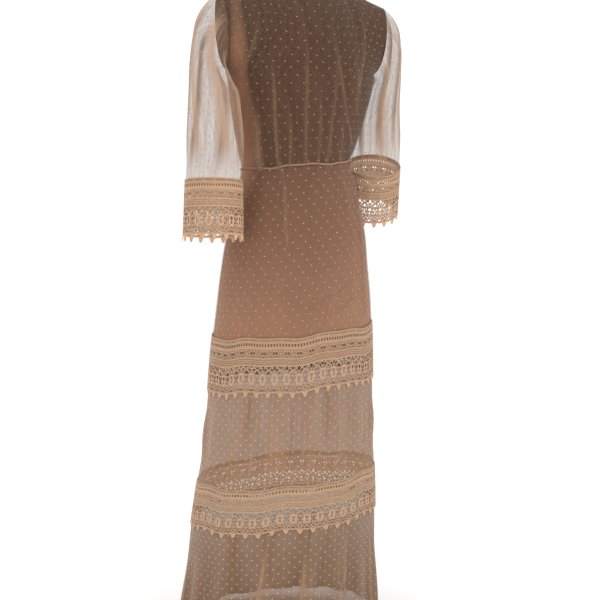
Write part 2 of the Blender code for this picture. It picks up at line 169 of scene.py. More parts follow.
Ring = namedtuple("Ring", "x y height across along")
SLEEVES = {
    "left": (
        Ring(0.211, 0.066, 0.150, 0.054, 0.056),
        Ring(0.213, 0.080, 0.060, 0.060, 0.061),
        Ring(0.218, 0.085, -0.035, 0.063, 0.064),
        Ring(0.224, 0.099, -0.170, 0.066, 0.067),
    ),
    "right": (
        Ring(-0.221, -0.050, 0.150, 0.050, 0.056),
        Ring(-0.212, -0.044, 0.080, 0.058, 0.060),
        Ring(-0.213, -0.050, 0.000, 0.063, 0.064),
        Ring(-0.225, -0.105, -0.122, 0.066, 0.067),
    ),
}
ARM_SIGN = {"left": 1, "right": -1}
SLEEVE_HEAD_STEPS = (0.0, 0.16, 0.38, 0.68, 1.0)
SHOULDER_LEAVE = Vector((0.80, 0.0, -0.60))
UNDERARM_LEAVE = Vector((0.80, 0.0, -0.40))
SLEEVE_STAND = 0.0009
CUFF_TOP_SHARE = 0.845

# Creases, listed one by one. x and height are those of the crest's top and foot, seen square from behind.
Crease = namedtuple("Crease", "side top_x top_height foot_x foot_height depth width")
CREASES = (
    Crease("back", 0.088, 0.232, 0.065, 0.000, 0.0050, 0.0042),
    Crease("back", 0.016, 0.300, 0.004, 0.000, 0.0046, 0.0040),
    Crease("back", -0.048, 0.292, -0.113, 0.040, 0.0050, 0.0042),
    Crease("back", -0.060, 0.232, -0.050, 0.000, 0.0044, 0.0036),
    Crease("back", 0.112, 0.300, 0.146, 0.205, 0.0040, 0.0052),
    Crease("back", 0.120, 0.120, 0.100, 0.000, 0.0044, 0.0050),
    Crease("back", 0.052, 0.130, 0.038, 0.000, 0.0036, 0.0038),
    Crease("back", -0.020, 0.170, -0.026, 0.000, 0.0038, 0.0036),
    Crease("back", -0.075, 0.110, -0.086, 0.000, 0.0040, 0.0040),
    Crease("back", -0.110, 0.260, -0.122, 0.120, 0.0034, 0.0046),
    Crease("back", -0.140, 0.330, -0.128, 0.180, 0.0036, 0.0050),
    Crease("back", 0.062, -0.004, 0.058, -0.170, 0.0042, 0.0036),
    Crease("back", -0.030, -0.010, -0.034, -0.100, 0.0022, 0.0040),
    Crease("back", 0.095, -0.006, 0.112, -0.120, 0.0026, 0.0050),
    Crease("back", -0.080, -0.006, -0.094, -0.140, 0.0024, 0.0046),
    Crease("back", 0.136, 0.150, 0.100, 0.004, 0.0034, 0.0090),
    Crease("back", 0.118, -0.004, 0.140, -0.090, 0.0030, 0.0080),
    Crease("back", -0.118, -0.262, 0.012, -0.326, 0.0038, 0.0075),
    Crease("back", -0.124, -0.300, -0.024, -0.352, 0.0032, 0.0070),
    Crease("back", -0.052, -0.222, 0.066, -0.286, 0.0026, 0.0080),
    Crease("back", -0.090, -0.140, 0.000, -0.200, 0.0022, 0.0080),
    Crease("back", -0.124, -0.060, -0.146, -0.385, 0.0040, 0.0034),
    Crease("front", 0.090, 0.150, 0.072, 0.000, 0.0046, 0.0042),
    Crease("front", 0.050, 0.210, 0.040, 0.000, 0.0050, 0.0044),
    Crease("front", 0.008, 0.180, 0.006, 0.000, 0.0040, 0.0038),
    Crease("front", -0.044, 0.230, -0.036, 0.000, 0.0050, 0.0040),
    Crease("front", -0.092, 0.170, -0.076, 0.000, 0.0046, 0.0044),
    Crease("front", -0.030, 0.110, -0.020, 0.000, 0.0034, 0.0034),
    Crease("front", 0.122, 0.300, 0.140, 0.190, 0.0036, 0.0050),
    Crease("front", -0.130, 0.310, -0.150, 0.200, 0.0036, 0.0050),
    Crease("front", 0.040, -0.010, 0.046, -0.150, 0.0026, 0.0044),
    Crease("front", -0.056, -0.010, -0.066, -0.130, 0.0026, 0.0044),
    Crease("back", -0.138, -0.535, -0.136, -0.700, 0.0037, 0.0021),
    Crease("back", 0.030, -0.540, 0.034, -0.650, 0.0025, 0.0027),
    Crease("back", 0.130, -0.530, 0.148, -0.705, 0.0042, 0.0027),
    Crease("back", -0.060, -0.560, -0.052, -0.700, 0.0023, 0.0027),
    Crease("back", -0.066, -0.850, -0.062, -1.070, 0.0053, 0.0023),
    Crease("back", 0.040, -0.870, 0.052, -1.076, 0.0048, 0.0025),
    Crease("back", -0.080, -0.900, -0.020, -1.040, 0.0045, 0.0021),
    Crease("back", 0.128, -0.860, 0.150, -1.070, 0.0053, 0.0027),
    Crease("back", -0.140, -0.840, -0.150, -1.050, 0.0042, 0.0025),
    Crease("front", 0.070, -0.530, 0.080, -0.690, 0.0033, 0.0027),
    Crease("front", -0.030, -0.540, -0.040, -0.700, 0.0030, 0.0025),
    Crease("front", -0.110, -0.540, -0.120, -0.680, 0.0033, 0.0027),
    Crease("front", 0.100, -0.850, 0.110, -1.070, 0.0053, 0.0027),
    Crease("front", 0.000, -0.860, 0.010, -1.074, 0.0048, 0.0025),
    Crease("front", -0.090, -0.850, -0.080, -1.060, 0.0049, 0.0027),
)
CREASE_RUN_OUT = 0.12
CREASE_REACH = 4
CREASE_FULL = 0.0055
BODICE_CREASE_FULL = 0.0070
SLEEVE_FOLD_FULL = 0.006
WAIST_PLEATS = 46
WAIST_PLEAT_DEPTH = 0.0011
NET_STAND = -0.0003
HEM_TURN = 0.012
HEM_FADE = 0.26
LEAST_CUT = 0.010
LEAST_AREA_SHARE = 0.31

# Rows and columns of the cloth's meshes
BODICE_ROWS = 120
BODICE_COLUMNS = 160
LINING_ROWS = 96
LINING_COLUMNS = 96
LINING_SKIRT_ROWS = 60
SLEEVE_ROWS = 80
SLEEVE_COLUMNS = 96

# The corded casing over the waist seam and the binding round the neck
ProfilePoint = namedtuple("ProfilePoint", "height proud")
CASING_PROFILE = (
    ProfilePoint(-0.0024, 0.0010),
    ProfilePoint(-0.0021, 0.0022),
    ProfilePoint(-0.0012, 0.0030),
    ProfilePoint(0.0, 0.0033),
    ProfilePoint(0.0012, 0.0030),
    ProfilePoint(0.0021, 0.0022),
    ProfilePoint(0.0024, 0.0010),
)
CASING_COLUMNS = 360
CASING_WALL = 0.0006
NECK_STEPS = 80
NECK_SMOOTHING = 8
BINDING_ROWS = 8
BINDING_TURN = math.pi * 1.25
BINDING_HEIGHT = 0.0036
BINDING_SEAT = 0.0004
BINDING_DEPTH = 0.0024
BINDING_WALL = 0.0005

# Colours of the cloth, as light leaves it. The net and its dots come in lit and shaded copies, the darker
# ones with painted shade
# Painted shade: the bodice net, also used over the hips, is a darkened copy of the sleeve and tier net
NET_TINT = (0.235, 0.124, 0.066)
SLEEVE_TINT = (0.35, 0.212, 0.130)
TIER_TINT = (0.31, 0.163, 0.083)
# Painted shade: the lower tier's net is darkened throughout, and darker still towards the hem
HEM_SHADE_TINT = (0.125, 0.067, 0.036)
HEM_NET_SHADE = 0.80
# Painted shade: the bodice dots, and less so the hip dots, are darkened copies of the tier dots
DOT_TINT = (0.44, 0.31, 0.21)
HIP_DOT_TINT = (0.64, 0.47, 0.335)
TIER_DOT_TINT = (0.74, 0.56, 0.41)
LACE_TINT = (0.65, 0.440, 0.288)
# Painted shade: the colour down between the lace's cords
LACE_SHADE = (0.135, 0.076, 0.046)
# Painted shade in the lining's colours: darkest behind the bodice, lighter at the waist and hips, lightest
# at the lining's hem
LINING_TOP = (0.050, 0.024, 0.014)
LINING_WAIST = (0.092, 0.042, 0.023)
LINING_HIP = (0.180, 0.080, 0.046)
LINING_LOW = (0.60, 0.31, 0.19)
# Painted light: the colour of the glow through the lining
LINING_GLOW = (0.92, 0.45, 0.26)
# Painted highlight: the colour mixed into the net's light colour on the crests of folds
CREST_HIGHLIGHT_TINT = (0.62, 0.44, 0.30)
TRIM_TINT = (0.33, 0.185, 0.105)

# Painted light in the lining's colour, where light comes through it beside the left sleeve: widest at the
# waist, narrow above it
GLOW_X = 0.156
GLOW_HALF_WIDTH = 0.030
GLOW_SPREAD = 0.034
GLOW_ABOVE = 0.40
GLOW_BELOW = 0.17
GLOW_SHARE = 0.8
THROUGH_LACE = (0.98, 0.80, 0.62)

# The stage: what the camera looks at, and its soft lights, each placed from there
LOOK_HEIGHT = -0.742
LOOK_SIDE = 0.0094
CAMERA_HEIGHT = -0.45
FLOOR_SIZE = 60.0
SoftLight = namedtuple("SoftLight", "name away right up size")
WINDOW = SoftLight("window", -2.4, -1.4, 0.9, 2.4)
FILL = SoftLight("fill", 2.6, 1.8, 1.3, 1.8)


class Field:
    """A shader socket that takes Python's arithmetic. Each step adds a Math node."""

    def __init__(self, tree, socket):
        self.tree = tree
        self.socket = socket

    def link_to(self, place):
        self.tree.links.new(self.socket, place)

    def math(self, operation, *others, clamp=False):
        node = self.tree.nodes.new("ShaderNodeMath")
        node.operation = operation
        node.use_clamp = clamp
        for place, value in zip(node.inputs, others):
            set_socket(place, value)
        return Field(self.tree, node.outputs[0])

    def __add__(self, other):
        return self.math("ADD", self, other)

    def __radd__(self, other):
        return self.math("ADD", other, self)

    def __sub__(self, other):
        return self.math("SUBTRACT", self, other)

    def __rsub__(self, other):
        return self.math("SUBTRACT", other, self)

    def __mul__(self, other):
        return self.math("MULTIPLY", self, other)

    def __rmul__(self, other):
        return self.math("MULTIPLY", other, self)

    def __truediv__(self, other):
        return self.math("DIVIDE", self, other)

    def clamped(self):
        return self.math("ADD", self, 0.0, clamp=True)

    def magnitude(self):
        return self.math("ABSOLUTE", self)


def set_socket(place, value):
    """Give a socket its value, or the link that brings it."""
    if isinstance(value, Field):
        value.link_to(place)
    else:
        place.default_value = value


class Finish:
    """One material, built node by node round its Principled shader."""

    def __init__(self, name, roughness, **constants):
        self.material = bpy.data.materials.new(name)
        self.material.use_nodes = True
        self.tree = self.material.node_tree
        self.shader = self.tree.nodes["Principled BSDF"]
        self.shader.inputs["Roughness"].default_value = roughness
        for socket, value in constants.items():
            self.shader.inputs[socket.replace("_", " ")].default_value = value

    def node(self, kind, settings=None, output=0, **values):
        """Add a node: its settings first, then the values or links of its sockets."""
        node = self.tree.nodes.new("ShaderNode" + kind)
        for setting, value in (settings or {}).items():
            setattr(node, setting, value)
        for socket, value in values.items():
            key = int(socket[1:]) if socket[1:].isdigit() else socket
            set_socket(node.inputs[key], value)
        return Field(self.tree, node.outputs[output])

    def cloth(self):
        """The cloth's own coordinates: metres across, metres down and a fold's share."""
        return self.node("Attribute", {"attribute_name": "cloth"}, output=1)

    def part(self, vector, axis):
        return self.node("SeparateXYZ", output=axis, Vector=vector)

    def scaled(self, vector, scale):
        return self.node("VectorMath", {"operation": "MULTIPLY"}, _0=vector, _1=scale)

    def grain(self, cloth, across, down, detail):
        """Flat noise with its own scale across the cloth and down it."""
        return self.node("TexNoise", {"noise_dimensions": "2D"},
                         Vector=self.scaled(cloth, (across, down, 0.0)), Scale=1.0, Detail=detail)

    def cloud(self, place, scale, detail):
        return self.node("TexNoise", Vector=place, Scale=scale, Detail=detail)

    def mesh(self, cloth, scale, randomness):
        """A net of threads: the distance to the nearest one, from a thread out."""
        return self.node("TexVoronoi", {"voronoi_dimensions": "2D", "feature": "DISTANCE_TO_EDGE"},
                         Vector=cloth, Scale=scale, Randomness=randomness)

    def mixed(self, share, first, second):
        return self.node("Mix", {"data_type": "RGBA"}, output=2, _0=share, _6=first, _7=second)

    def feed(self, socket, field):
        field.link_to(self.shader.inputs[socket])

    def glow(self, share, colour):
        """Let a share of the light through the cloth, so that it glows from behind."""
        through = self.node("BsdfTranslucent", Color=colour)
        blend = self.node("MixShader", _0=share, _1=Field(self.tree, self.shader.outputs[0]), _2=through)
        blend.link_to(self.tree.nodes["Material Output"].inputs["Surface"])

    def bump(self, height, strength, distance):
        self.feed("Normal", self.node("Bump", Height=height, Strength=strength, Distance=distance))


def rgba(colour, gain=1.0):
    return (*(min(1.0, channel * gain) for channel in colour), 1.0)


def net_finish(name, tint, opacity, mesh_size, hem_tint=None, uneven=1.0):
    """Sheer net: a fine mesh of threads that lets the light through, denser on the crests of folds, where
    its colour also takes a painted highlight. Given a hem tint, painted shade darkens it towards the hem.
    """
    finish = Finish(name, 0.85, Sheen_Weight=0.15, Sheen_Roughness=0.6, Specular_IOR_Level=0.2)
    cloth = finish.cloth()
    thread = (1.0 - finish.mesh(cloth, 1 / mesh_size, 0.3) * 5.0).clamped()
    streak = finish.grain(cloth, 120.0, 4.0, 3.0)
    cloud = finish.cloud(cloth, 9.0, 2.0)
    fold = finish.part(cloth, 2).clamped()
    density = opacity * (0.86 + thread * 0.34) + ((streak - 0.5) * 0.22 + fold * 0.30) * uneven
    if hem_tint:
        down = finish.part(cloth, 1)
        foot = (1.0 - down / HEM_FADE).clamped()
        turned = (1.0 - (down - HEM_TURN) * 900.0).clamped()
        density = density + foot * 0.18 + turned * 0.25
        # Painted shade: the net darkens towards the hem, down to the hem tint
        low = finish.mixed(foot, rgba(tint), rgba(hem_tint))
        dark = finish.scaled(low, (0.80, 0.78, 0.76))
        # Painted highlight: the light colour for the crests, lighter than the net and mixed with the crest
        # tint
        light = finish.mixed(0.25, finish.scaled(low, (1.35, 1.35, 1.35)), rgba(CREST_HIGHLIGHT_TINT))
    else:
        # Painted highlight: a lighter copy of the tint for the crests
        dark, light = rgba(tint, 0.80), rgba([channel * 1.25 + 0.04 for channel in tint])
    finish.feed("Alpha", density.clamped())
    # Partly the net's uneven tone (streaks and clouds), partly a painted highlight on the crests of folds
    # and on the doubled seams
    shade = (streak * 0.35 + cloud * 0.30 + fold * 0.75).clamped()
    finish.feed("Base Color", finish.mixed(shade, dark, light))
    finish.bump(thread, 0.25, 0.0003)
    return finish.material


def dot_finish(name, tint):
    """Woven dots: satin stitches lying over the net."""
    finish = Finish(name, 0.7, Sheen_Weight=0.2, Specular_IOR_Level=0.3)
    cloth = finish.cloth()
    threads = finish.node("TexWave", {"bands_direction": "X"}, output=1,
                          Vector=cloth, Scale=900.0, Distortion=0.6)
    finish.feed("Base Color", finish.mixed(threads, rgba(tint, 0.86), rgba(tint, 1.1)))
    finish.bump(threads, 0.5, 0.0002)
    return finish.material


def lace_finish(name, tint):
    """Guipure: satin-stitched cords that let some light through, with painted shade down between them and a
    painted highlight on their tops.
    """
    finish = Finish(name, 0.75, Sheen_Weight=0.25, Sheen_Roughness=0.45, Specular_IOR_Level=0.3)
    cloth = finish.cloth()
    stitches = finish.grain(cloth, 900.0, 1900.0, 2.0)
    patch = finish.cloud(cloth, 24.0, 3.0)
    raised = finish.part(cloth, 2)
    ground = (finish.mesh(cloth, 420.0, 0.7) * 2.6).clamped()
    # Painted shade and highlight from the relief, mixed with uneven thread tone: low ground goes to the lace
    # shade, raised cords to a lighter tint
    light = (raised * 1.85 + stitches * 0.35 + patch * 0.40 + ground * 0.45 - 1.28).clamped()
    finish.feed("Base Color", finish.mixed(light, rgba(LACE_SHADE), rgba(tint, 1.40)))
    finish.bump(ground + stitches * 0.5, 0.6, 0.0005)
    finish.glow(light * 0.40 + 0.12, rgba(THROUGH_LACE))
    return finish.material


def lining_finish(name, foot, top, low, high, glow_reach):
    """Matt slip cloth, its colour changing from a foot height to a top height as painted shade, lighter
    towards its sides as painted light, with a painted glow where light comes through beside the left sleeve.
    """
    finish = Finish(name, 0.9, Sheen_Weight=0.1, Specular_IOR_Level=0.2)
    cloth = finish.cloth()
    place = finish.node("TexCoord", output=3)
    height = finish.part(place, 2)
    side = finish.part(place, 0)
    cloud = finish.cloud(place, 7.0, 3.0)
    # Painted light: the lining is lighter towards its sides, on the dress's right more than its left
    painted_side_light = side.magnitude() * 1.3 - side * 0.65
    # Painted shade: the colour follows the height, with uneven tone from the cloud
    share = (height - (WAIST + foot)) / (top - foot) + (cloud - 0.5) * 0.25 - painted_side_light
    plain = finish.mixed(share.clamped(), rgba(low), rgba(high))
    beyond = (height - WAIST) / glow_reach
    near_waist = (1.0 - beyond.magnitude() * 2.0).clamped()
    beside = (side - GLOW_X) / (GLOW_HALF_WIDTH + near_waist * GLOW_SPREAD)
    lit = (1.0 - beside * beside - beyond * beyond + (cloud - 0.5) * 0.8).clamped()
    # Painted light: the glow colour mixed in where light comes through beside the left sleeve
    colour = finish.mixed(lit * GLOW_SHARE, plain, rgba(LINING_GLOW))
    weave = finish.grain(cloth, 1400.0, 420.0, 2.0)
    shaded = finish.node("Mix", {"data_type": "RGBA", "blend_type": "MULTIPLY"}, output=2,
                         _0=0.35, _6=colour, _7=weave)
    finish.feed("Base Color", shaded)
    finish.bump(weave, 0.3, 0.0003)
    return finish.material


def trim_finish(name, tint):
    """Folded net over a cord, several layers deep."""
    finish = Finish(name, 0.8, Sheen_Weight=0.2, Specular_IOR_Level=0.25)
    cloth = finish.cloth()
    ruched = finish.grain(cloth, 260.0, 60.0, 3.0)
    finish.feed("Base Color", finish.mixed(ruched, rgba(tint, 0.7), rgba(tint, 1.3)))
    finish.bump(ruched, 0.6, 0.0008)
    return finish.material


def mix(first, second, share):
    return first + (second - first) * share


def eased(share):
    share = min(1.0, max(0.0, share))
    return share * share * (3 - 2 * share)


def curve_weights(share):
    """Weights of a smooth curve's start, and of its slopes where it leaves and where it arrives."""
    return 2 * share**3 - 3 * share**2 + 1, share**3 - 2 * share**2 + share, share**3 - share**2


@lru_cache(maxsize=None)
def section_at(height):
    """The section at any height: a smooth curve through SECTIONS, column by column."""
    last = len(SECTIONS) - 2
    low = max(i for i in range(last + 1) if SECTIONS[i].height <= height or i == 0)
    step = SECTIONS[low + 1].height - SECTIONS[low].height
    share = min(1.0, max(0.0, (height - SECTIONS[low].height) / step))

    def slope(row, column):
        before = SECTIONS[max(row - 1, 0)]
        after = SECTIONS[min(row + 1, last + 1)]
        return (after[column] - before[column]) / (after.height - before.height)

    keep, leave, arrive = curve_weights(share)

    def blend(column):
        start, end = SECTIONS[low][column], SECTIONS[low + 1][column]
        return (keep * start + leave * step * slope(low, column) + (1 - keep) * end
                + arrive * step * slope(low + 1, column))

    return Section(*(blend(column) for column in range(len(Section._fields))))


def placed(x, y, height):
    return Vector((x, y, WAIST + height + section_at(height).rise * x))


def body_point(angle, height, proud=0.0):
    """A point of the net's outer face, at an angle from the dress's left side towards the back."""
    section = section_at(height)
    depth = section.back if math.sin(angle) >= 0 else section.front
    across = Vector((math.cos(angle) / section.half_width, math.sin(angle) / depth, 0)).normalized()
    x = section.shift_x + section.half_width * math.cos(angle) + across.x * proud
    return placed(x, depth * math.sin(angle) + across.y * proud, height)


def fold_depth(height):
    for low, high in zip(FOLD_DEPTHS, FOLD_DEPTHS[1:]):
        if low.height <= height <= high.height:
            return mix(low.depth, high.depth, eased((height - low.height) / (high.height - low.height)))
    return 0.0


def fold_shape(angle):
    wave = math.cos(SKIRT_FOLDS * angle + 1.3 * math.sin(3 * angle) + 0.6)
    return (0.5 + 0.5 * wave) ** 1.5 * (0.75 + 0.25 * math.sin(5 * angle + 1.0))


def crease_lift(side, x, height):
    """How far the listed creases lift the net at a place."""
    lift = 0.0
    for crease in CREASES:
        length = crease.top_height - crease.foot_height
        along = (crease.top_height - height) / length
        if crease.side != side or not -CREASE_RUN_OUT < along < 1 + CREASE_RUN_OUT:
            continue
        centre = mix(crease.top_x, crease.foot_x, along) + 0.003 * math.sin(4.5 * along + crease.depth * 900)
        away = abs(x - centre) / crease.width
        if away < CREASE_REACH:
            fade = eased((along + CREASE_RUN_OUT) / 0.5) * eased((1 + CREASE_RUN_OUT - along) / 0.14)
            lift += crease.depth * fade * math.exp(-away**1.6)
    return lift


def waist_pleat(angle, height):
    """Small uneven pleats that the waist seam draws into the net, above and below it."""
    reach = 0.060 + 0.035 * math.sin(7 * angle) + 0.02 * math.sin(17 * angle + 1)
    fade = max(0.0, 1 - abs(height) / max(reach, 0.01))
    wave = 0.5 + 0.5 * math.cos(WAIST_PLEATS * angle + 2.2 * math.sin(5 * angle))
    return WAIST_PLEAT_DEPTH * fade * wave**2


def band_wave(angle, phase):
    """How a lace band's edges wander up and down along it."""
    return 0.0030 * math.sin(6 * angle + 9 * phase) + 0.0014 * math.sin(13 * angle + 4 * phase)


def skirt_lift(angle, height):
    """Folds, creases and waist pleats of the skirt, faded out where lace lies over the net."""
    section = section_at(height)
    side = "back" if math.sin(angle) >= 0 else "front"
    x = section.shift_x + section.half_width * math.cos(angle)
    clear = 1.0
    for band in BANDS:
        inside = min(band.top + 0.014 - height, height - band.tip + 0.006)
        clear = min(clear, eased(-inside / 0.03))
    return (fold_depth(height) * fold_shape(angle) + crease_lift(side, x, height) * clear
            + waist_pleat(angle, height) * min(1.0, -height / 0.004))


def fold_share(angle, height):
    """How far a place of the skirt lies towards a fold's crest, from 0 to 1."""
    deep = fold_depth(height)
    broad = 0.30 * fold_shape(angle) * min(1.0, deep / 0.006)
    return broad + (skirt_lift(angle, height) - deep * fold_shape(angle)) / CREASE_FULL


def with_seams(shares):
    """Mark the doubled net of the side seams at both ends of a row as full folds: denser, and lighter with a
    painted highlight.
    """
    return [1.0, *shares[1:-1], 1.0]


def armhole_point(arm, panel, share):
    underarm = section_at(UNDERARM)
    sign = ARM_SIGN[arm]
    x = mix(underarm.shift_x + sign * underarm.half_width, UPPER_SHIFT + sign * SHOULDER_HALF, share)
    y = panel.sign * panel.armhole_depth * math.sin(math.pi * share)
    height = mix(UNDERARM, SHOULDER, (1 - math.cos(math.pi * share)) / 2)
    return placed(x, y, height)


def top_point(panel, share):
    side = panel.sign if share <= 0.5 else -panel.sign
    share = min(share, 1 - share)
    if share <= SHOULDER_SHARE:
        along = share / SHOULDER_SHARE
        x = mix(SHOULDER_HALF, NECK_HALF, along)
        y = 0.0
        height = mix(SHOULDER, NECK_SIDE, along)
    else:
        turn = math.pi * (share - SHOULDER_SHARE) / (1 - 2 * SHOULDER_SHARE)
        x = NECK_HALF * math.cos(turn)
        y = panel.neck_depth * math.sin(turn)
        height = NECK_SIDE - panel.neck_drop * math.sin(turn) ** NECK_CURVE
    return placed(UPPER_SHIFT + side * x, panel.sign * y, height)


def yoke_point(panel, share, rise, lift=0.0):
    """A panel above the underarm: between its lower row, its top edge and its two armholes."""
    arms = ("left", "right") if panel is BACK else ("right", "left")
    angle = panel.start + math.pi * share
    lower = body_point(angle, UNDERARM)
    point = mix(lower, top_point(panel, share), rise) + body_point(angle, UNDERARM, lift) - lower
    for arm, away in zip(arms, (share, 1 - share)):
        edge = armhole_point(arm, panel, rise)
        straight = mix(armhole_point(arm, panel, 0), armhole_point(arm, panel, 1), rise)
        point += (edge - straight) * (1 - away) ** ARMHOLE_FADE
    swell = BLADE_SWELL * math.sin(math.pi * rise) * math.sin(math.pi * share)
    return point + Vector((0, panel.sign * swell, 0))


def bodice_point(panel, share, up, sink=0.0, creased=True):
    """A point of the bodice: up runs from the waist (0) past the underarm (1) to the shoulders (2)."""
    angle = panel.start + math.pi * share
    if up <= 1:
        height = UNDERARM * up
        section = section_at(height)
        x = section.shift_x + section.half_width * math.cos(angle)
        lift = crease_lift(panel.name, x, height) + waist_pleat(angle, height) if creased else 0.0
        return body_point(angle, height, lift - sink), lift
    rise = up - 1
    flat = yoke_point(panel, share, rise)
    height = mix(UNDERARM, SHOULDER, rise)
    lift = crease_lift(panel.name, flat.x, height) if creased else 0.0
    away = 1 - (2 * share - 1) ** 6
    return yoke_point(panel, share, rise, (lift - sink) * away) - Vector((0, 0, sink * rise)), lift


def cuff_axes(arm):
    """A cuff's axis, its outward direction and its backward direction."""
    top, tip = SLEEVES[arm][2:]
    axis = Vector((tip.x - top.x, tip.y - top.y, tip.height - top.height)).normalized()
    outward = Vector((ARM_SIGN[arm], 0, 0))
    outward = (outward - axis * outward.dot(axis)).normalized()
    return axis, outward, outward.cross(axis) * ARM_SIGN[arm]


def ring_point(arm, ring, angle, proud=0.0):
    """A point of a sleeve ring, at an angle from its outer side towards the back."""
    _, outward, backward = cuff_axes(arm)
    centre = Vector((ring.x, ring.y, WAIST + ring.height))
    across = outward * math.cos(angle) * (ring.across + proud)
    return centre + across + backward * math.sin(angle) * (ring.along + proud)


def through(points, place):
    """A smooth curve through a few points, at a place counted in points."""
    low = min(int(place), len(points) - 2)
    share = place - low
    a = points[max(low - 1, 0)]
    b, c = points[low], points[low + 1]
    d = points[min(low + 2, len(points) - 1)]
    return (b * 2 + (c - a) * share + (a * 2 - b * 5 + c * 4 - d) * share**2
            + (b * 3 - a - c * 3 + d) * share**3) / 2


def sleeve_line(arm, angle):
    """The points down a sleeve at one angle, from the armhole to the net behind the cuff's edge."""
    sign = ARM_SIGN[arm]
    upper, elbow, cuff, tip = SLEEVES[arm]
    angle %= TURN
    panel, share = (BACK, 1 - angle / math.pi) if angle <= math.pi else (FRONT, angle / math.pi - 1)
    start = armhole_point(arm, panel, share) + Vector((sign * SLEEVE_STAND, 0, 0))
    end = ring_point(arm, upper, angle)
    reach = (end - start).length
    leave = mix(UNDERARM_LEAVE, SHOULDER_LEAVE, (1 + math.cos(angle)) / 2) * reach
    leave.x *= sign
    arrive = (ring_point(arm, elbow, angle) - end).normalized() * reach
    line = []
    for step in SLEEVE_HEAD_STEPS:
        keep, leaving, arriving = curve_weights(step)
        line.append(start * keep + end * (1 - keep) + (leave * leaving + arrive * arriving))
    cuff_height = (Vector((cuff.x, cuff.y, cuff.height)) - Vector((tip.x, tip.y, tip.height))).length
    below = mix(ring_point(arm, cuff, angle), ring_point(arm, tip, angle), LAP / cuff_height)
    return line + [ring_point(arm, elbow, angle), ring_point(arm, cuff, angle), below]


def sleeve_lift(arm, angle, down):
    """Soft lengthwise folds of a sleeve, which die away at the armhole and the cuff."""
    fade = eased(down / 0.25) * eased((CUFF_TOP_SHARE - down) / 0.14)
    drift = angle + 0.5 * math.sin(3 * down + ARM_SIGN[arm])
    wave = (0.5 + 0.5 * math.cos(7 * drift + 1.1 * math.sin(2 * drift) + ARM_SIGN[arm])) ** 3
    fine = (0.5 + 0.5 * math.cos(19 * drift + 2 * math.sin(3 * drift))) ** 4
    return fade * (0.0046 * wave + 0.0012 * fine)


def add_mesh(name, points, faces, cloth, smooth=True):
    """Make a piece from points and faces, with the cloth's own coordinates on each point."""
    mesh = bpy.data.meshes.new(name)
    mesh.from_pydata([tuple(point) for point in points], [], faces)
    own = mesh.attributes.new("cloth", "FLOAT_VECTOR", "POINT")
    own.data.foreach_set("vector", [value for triple in cloth for value in triple])
    if smooth:
        mesh.shade_smooth()
    mesh.update()
    piece = bpy.data.objects.new(name, mesh)
    bpy.context.scene.collection.objects.link(piece)
    return piece


def grid_piece(name, rows, folds=None, closed=False):
    """A net or lining piece from rows of points, with distances along the cloth measured on it."""
    points, cloth, faces = [], [], []
    count = len(rows[0])
    down = 0.0
    for number, row in enumerate(rows):
        if number:
            down += (row[count // 2] - rows[number - 1][count // 2]).length
        across = 0.0
        for column, point in enumerate(row):
            if column:
                across += (point - row[column - 1]).length
            points.append(point)
            cloth.append((across, down, folds[number][column] if folds else 0.0))
    for row in range(len(rows) - 1):
        for column in range(count if closed else count - 1):
            beside = (column + 1) % count
            start = row * count
            faces.append((start + column, start + beside, start + count + beside, start + count + column))
    return add_mesh(name, points, faces, cloth)


def dress_piece(piece, material, slot, *nodes):
    """Give a piece its finish, let it ride on the dress and stand for its solids."""
    piece.data.materials.append(material)
    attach(piece, "root")
    if nodes:
        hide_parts(*nodes)
    return piece


def solid_piece(name, rows, wall, material, slot, node, closed=False):
    """A piece with a real thickness, laid on inside its rows."""
    piece = grid_piece(name, rows, closed=closed)
    piece.modifiers.new("Wall", "SOLIDIFY").thickness = wall
    return dress_piece(piece, material, slot, node)


def line_length(points):
    return sum((b - a).length for a, b in zip(points, points[1:]))


def whole_round(rows):
    """The rows of a tube, each ending where it starts."""
    return [row + row[:1] for row in rows]


def cut_sheet(piece, rows, layers=1):
    """Measure a piece's flat cut along its rows and columns, and its area of cloth; the measures are not
    kept.
    """
    width = max(line_length(row) for row in rows)
    length = max(line_length(column) for column in zip(*rows))
    graph = bpy.context.evaluated_depsgraph_get()
    area = sum(face.area for face in piece.evaluated_get(graph).data.polygons) / layers
    flat = (round(width, 3), max(round(length, 3), LEAST_CUT))
    area = min(max(round(area, 4), LEAST_AREA_SHARE * flat[0] * flat[1]), flat[0] * flat[1])


def spread(places, surface, pitch):
    """Leave out the places whose points on the surface come nearer than the pitch to a kept one."""
    kept = []
    for place in places:
        point = surface(*place)
        if all((point - other).length > pitch for _, other in kept):
            kept.append((place, point))
    return [place for place, _ in kept]


def dots_piece(name, surface, places, finish, size):
    """Raised woven dots on a surface, each a low dome."""
    points, faces, cloth = [], [], []
    step = 1e-4
    for across, down in places:
        centre = surface(across, down)
        along = surface(across + step, down) - centre
        below = surface(across, down + step) - centre
        if along.length < 1e-9 or below.length < 1e-9:
            continue
        along.normalize()
        normal = along.cross(below).normalized()
        below = normal.cross(along)
        turn = 0.35 * math.sin(across * 911 + down * 577)
        start = len(points)
        for corner in range(DOT_SIDES):
            angle = TURN * corner / DOT_SIDES + turn
            offset = along * math.cos(angle) * size + below * math.sin(angle) * size * DOT_FLATNESS
            points.append(centre + offset + normal * DOT_FOOT)
            cloth.append((across + math.cos(angle) * size, down + math.sin(angle) * size, 0.0))
            faces.append((start + corner, start + (corner + 1) % DOT_SIDES, start + DOT_SIDES))
        points.append(centre + normal * DOT_TOP)
        cloth.append((across, down, 1.0))
    return dress_piece(add_mesh(name, points, faces, cloth), finish, "net")


